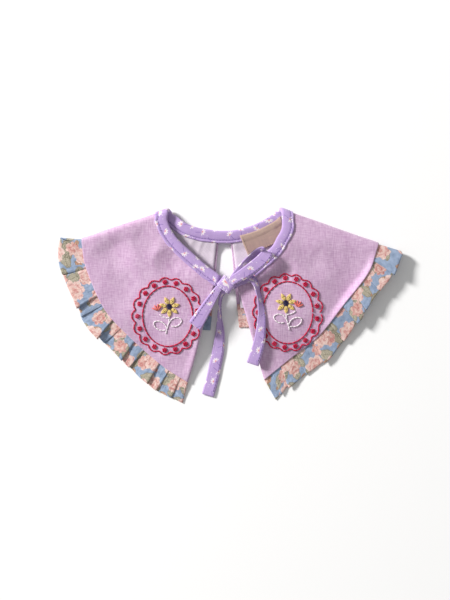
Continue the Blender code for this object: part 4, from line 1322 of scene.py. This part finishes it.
def tie_grid(tie, reach, base, rise, beside):
    """Middle surface of a tie, its normals and its flat pattern."""
    direction, bends = tie
    ahead, across = heading(direction), heading(direction + pi / 2)
    knots = [
        knot_middle + ahead * out * reach + across * side * tie_width + UP * (base + lift * rise)
        for out, side, lift, _, _ in bends
    ]
    line = smooth_line(knots, 12)
    lengths = lengths_of(line)
    widths = smooth_line([Vector((bend[3], bend[4], 0)) for bend in bends], 12)
    places = [place_at(lengths, lengths[-1] * n / tie_steps) for n in range(tie_steps + 1)]
    centres = [pick(line, place) for place in places]
    grid, normals, flat, level = [], [], [], None
    for n, centre in enumerate(centres):
        go = (centres[min(n + 1, tie_steps)] - centres[max(n - 1, 0)]).normalized()
        wide = across - go * across.dot(go) if beside else go.cross(UP)
        if level and wide.dot(level) < 0:
            wide = -wide
        level = wide.normalized()
        share = pick(widths, places[n])
        face = level.cross(go)
        tilt = radians(share.y)
        wide, face = level * cos(tilt) + face * sin(tilt), face * cos(tilt) - level * sin(tilt)
        cells, cuts = [], []
        for m in range(tie_columns + 1):
            x = -1 + 2 * m / tie_columns
            curl = (x * x - 0.4) * 0.35 * MM * ripple(n * 0.09, direction, 1.0)
            cells.append(centre + wide * (x * share.x * tie_width / 2) + face * curl)
            cuts.append(Vector((lengths[-1] * n / tie_steps, tie_width * m / tie_columns, 0)))
        grid.append(cells)
        normals.append([face] * (tie_columns + 1))
        flat.append(cuts)
    return grid, normals, flat


def swell(m):
    """Half the tie's thickness across its width: soft edges, and a groove at its stitch line."""
    x = abs(-1 + 2 * m / tie_columns)
    full = 0.78 * MM * (1 - x**7) ** 0.5
    return full - 0.22 * MM * smoothstep(1 - abs(m - tie_groove) / 1.1)


def make_tie(name, node_name, tie, reach, base, rise, beside=False, hem=False):
    """One loop or tail of the bow, and the stitches along its one side."""
    grid, normals, flat = tie_grid(tie, reach, base, rise, beside)
    end = flat[-1][0].x

    def thick(i, m):
        hemmed = 0.0
        if hem and 0 < m < tie_columns:
            from_end = end - flat[i][0].x
            hemmed = 0.3 * MM * smoothstep((10.5 * MM - from_end) / (1.2 * MM))
        taper = 1.0 if 0 < i < tie_steps else 0.55
        return (swell(m) + hemmed) * taper

    outer = offset_grid(grid, normals, lambda i, j: -thick(i, j))
    inner = offset_grid(grid, normals, thick)
    made = cloth(name, outer, inner, flat, True, violet_print)
    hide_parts(node_name)
    line, ups = [[row[stitched_column] for row in rows][3:-3] for rows in (outer, normals)]
    return run_of_stitches(line, ups, 2.3 * MM, 0.7 * MM, 0.26 * MM, 0.1)


on_paper = tie_thickness / 2
tie_thread = [
    *make_tie("right_loop_tape", "bow_loop_right", right_loop, 54 * MM, over_base, 7 * MM, beside=True),
    *make_tie("left_loop_tape", "bow_loop_left", left_loop, 54 * MM, over_base, 7 * MM, beside=True),
    *make_tie("left_tail_tape", "tie_tail_left", left_tail, 113 * MM, on_paper, knot_base, hem=True),
    *make_tie("right_tail_tape", "tie_tail_right", right_tail, 84 * MM, tail_base, 7 * MM, hem=True),
]
threads("tie_topstitch", tie_thread, 0.28 * MM, violet_thread, 5)


# Knot: one turn of the same bias tape round the middle of the bow, pulled in and pressed flat.
# Both its edges are stitched in a paler thread.
knot_length = 17.0 * MM
knot_steps, knot_rows = 56, 30
knot_turn = radians(-40.0)
knot_print_start = 20.5 * MM
knot_stitch_lines = (-0.9, -0.66, 0.66, 0.9)
pale_thread = stranded_cotton("pale_thread", "#f0e6f6", "#cdb8e2")


def make_knot():
    ahead, across = heading(knot_turn), heading(knot_turn + pi / 2)
    middle = knot_middle + UP * (knot_base + knot_height / 2)
    points, uvs = [], []
    for row in range(knot_rows + 1):
        x = -1 + 2 * row / knot_rows
        rim = 1 - 0.16 * smoothstep((abs(x) - 0.86) / 0.14)
        groove = 0.05 * smoothstep(1 - abs(abs(x) - 0.7) / 0.1)
        waist = 1 - 0.07 * (1 - x * x)
        for step in range(knot_steps):
            angle = -2 * pi * step / knot_steps
            round_out = abs(cos(angle)) ** 0.5 * (1 if cos(angle) > 0 else -1)
            round_up = abs(sin(angle)) ** 0.62 * (1 if sin(angle) > 0 else -1)
            pull = 0.05 * ripple(x * 1.9, 1.8 * cos(angle), 1.8 * sin(angle))
            point = middle + across * x * tie_width * 0.5
            point += ahead * round_out * knot_length / 2 * rim * waist * 0.96
            point += UP * round_up * knot_height / 2 * (rim - groove + pull)
            points.append(point)
            along = knot_print_start + knot_length * 2 * step / knot_steps
            uvs.append(Vector((along, tie_width * (x + 1) / 2, 0)))
    made = add_mesh("knot_tape", points, tube_faces(knot_rows + 1, knot_steps), uvs, violet_print)
    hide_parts("bow_knot")
    strands = []
    for x in knot_stitch_lines:
        start = round((x + 1) / 2 * knot_rows) * knot_steps
        on_top = range(knot_steps // 2 + 4, knot_steps - 3)
        line = [points[start + step] for step in on_top]
        ups = [(point - middle).normalized() for point in line]
        strands += run_of_stitches(line, ups, 3.2 * MM, 0.3 * MM, 0.4 * MM, 0.1)
    return strands


threads("knot_topstitch", make_knot(), 0.42 * MM, pale_thread, 6)


# Light and view: one large soft lamp from the upper left in a white room, as for a catalogue picture of a
# collar laid flat, and a camera that looks straight down.
photo_width, photo_height = 450, 600
lens, sensor = 85.0, 36.0
camera_rise = 8 * MM
lamp_place, lamp_size, lamp_power = Vector((-4.45, 2.5, 2.72)), 1.15, 490.0
lamp_white = (1.0, 0.99, 0.975)
room_light = 0.38


def hang_lamp():
    data = bpy.data.lights.new("key", "AREA")
    data.shape, data.size, data.energy, data.color = "DISK", lamp_size, lamp_power, lamp_white
    made = bpy.data.objects.new("key", data)
    made.location = lamp_place
    made.rotation_mode = "QUATERNION"
    made.rotation_quaternion = (-lamp_place).to_track_quat("-Z", "Y")
    scene.collection.objects.link(made)


def light_room():
    room = bpy.data.worlds.new("room")
    room.use_nodes = True
    walls = room.node_tree.nodes["Background"]
    walls.inputs["Color"].default_value = rgb("#ffffff")
    walls.inputs["Strength"].default_value = room_light
    scene.world = room
    scene.view_settings.view_transform = "Standard"


def set_camera():
    data = bpy.data.cameras.new("camera")
    data.lens, data.sensor_width = lens, sensor
    made = bpy.data.objects.new("camera", data)
    below = photo_place(photo_width / 2, photo_height / 2) + shift
    made.location = (below.x, below.y, lens * photo_height / sensor * MM + camera_rise)
    scene.collection.objects.link(made)
    scene.camera = made


hang_lamp()
light_room()
set_camera()
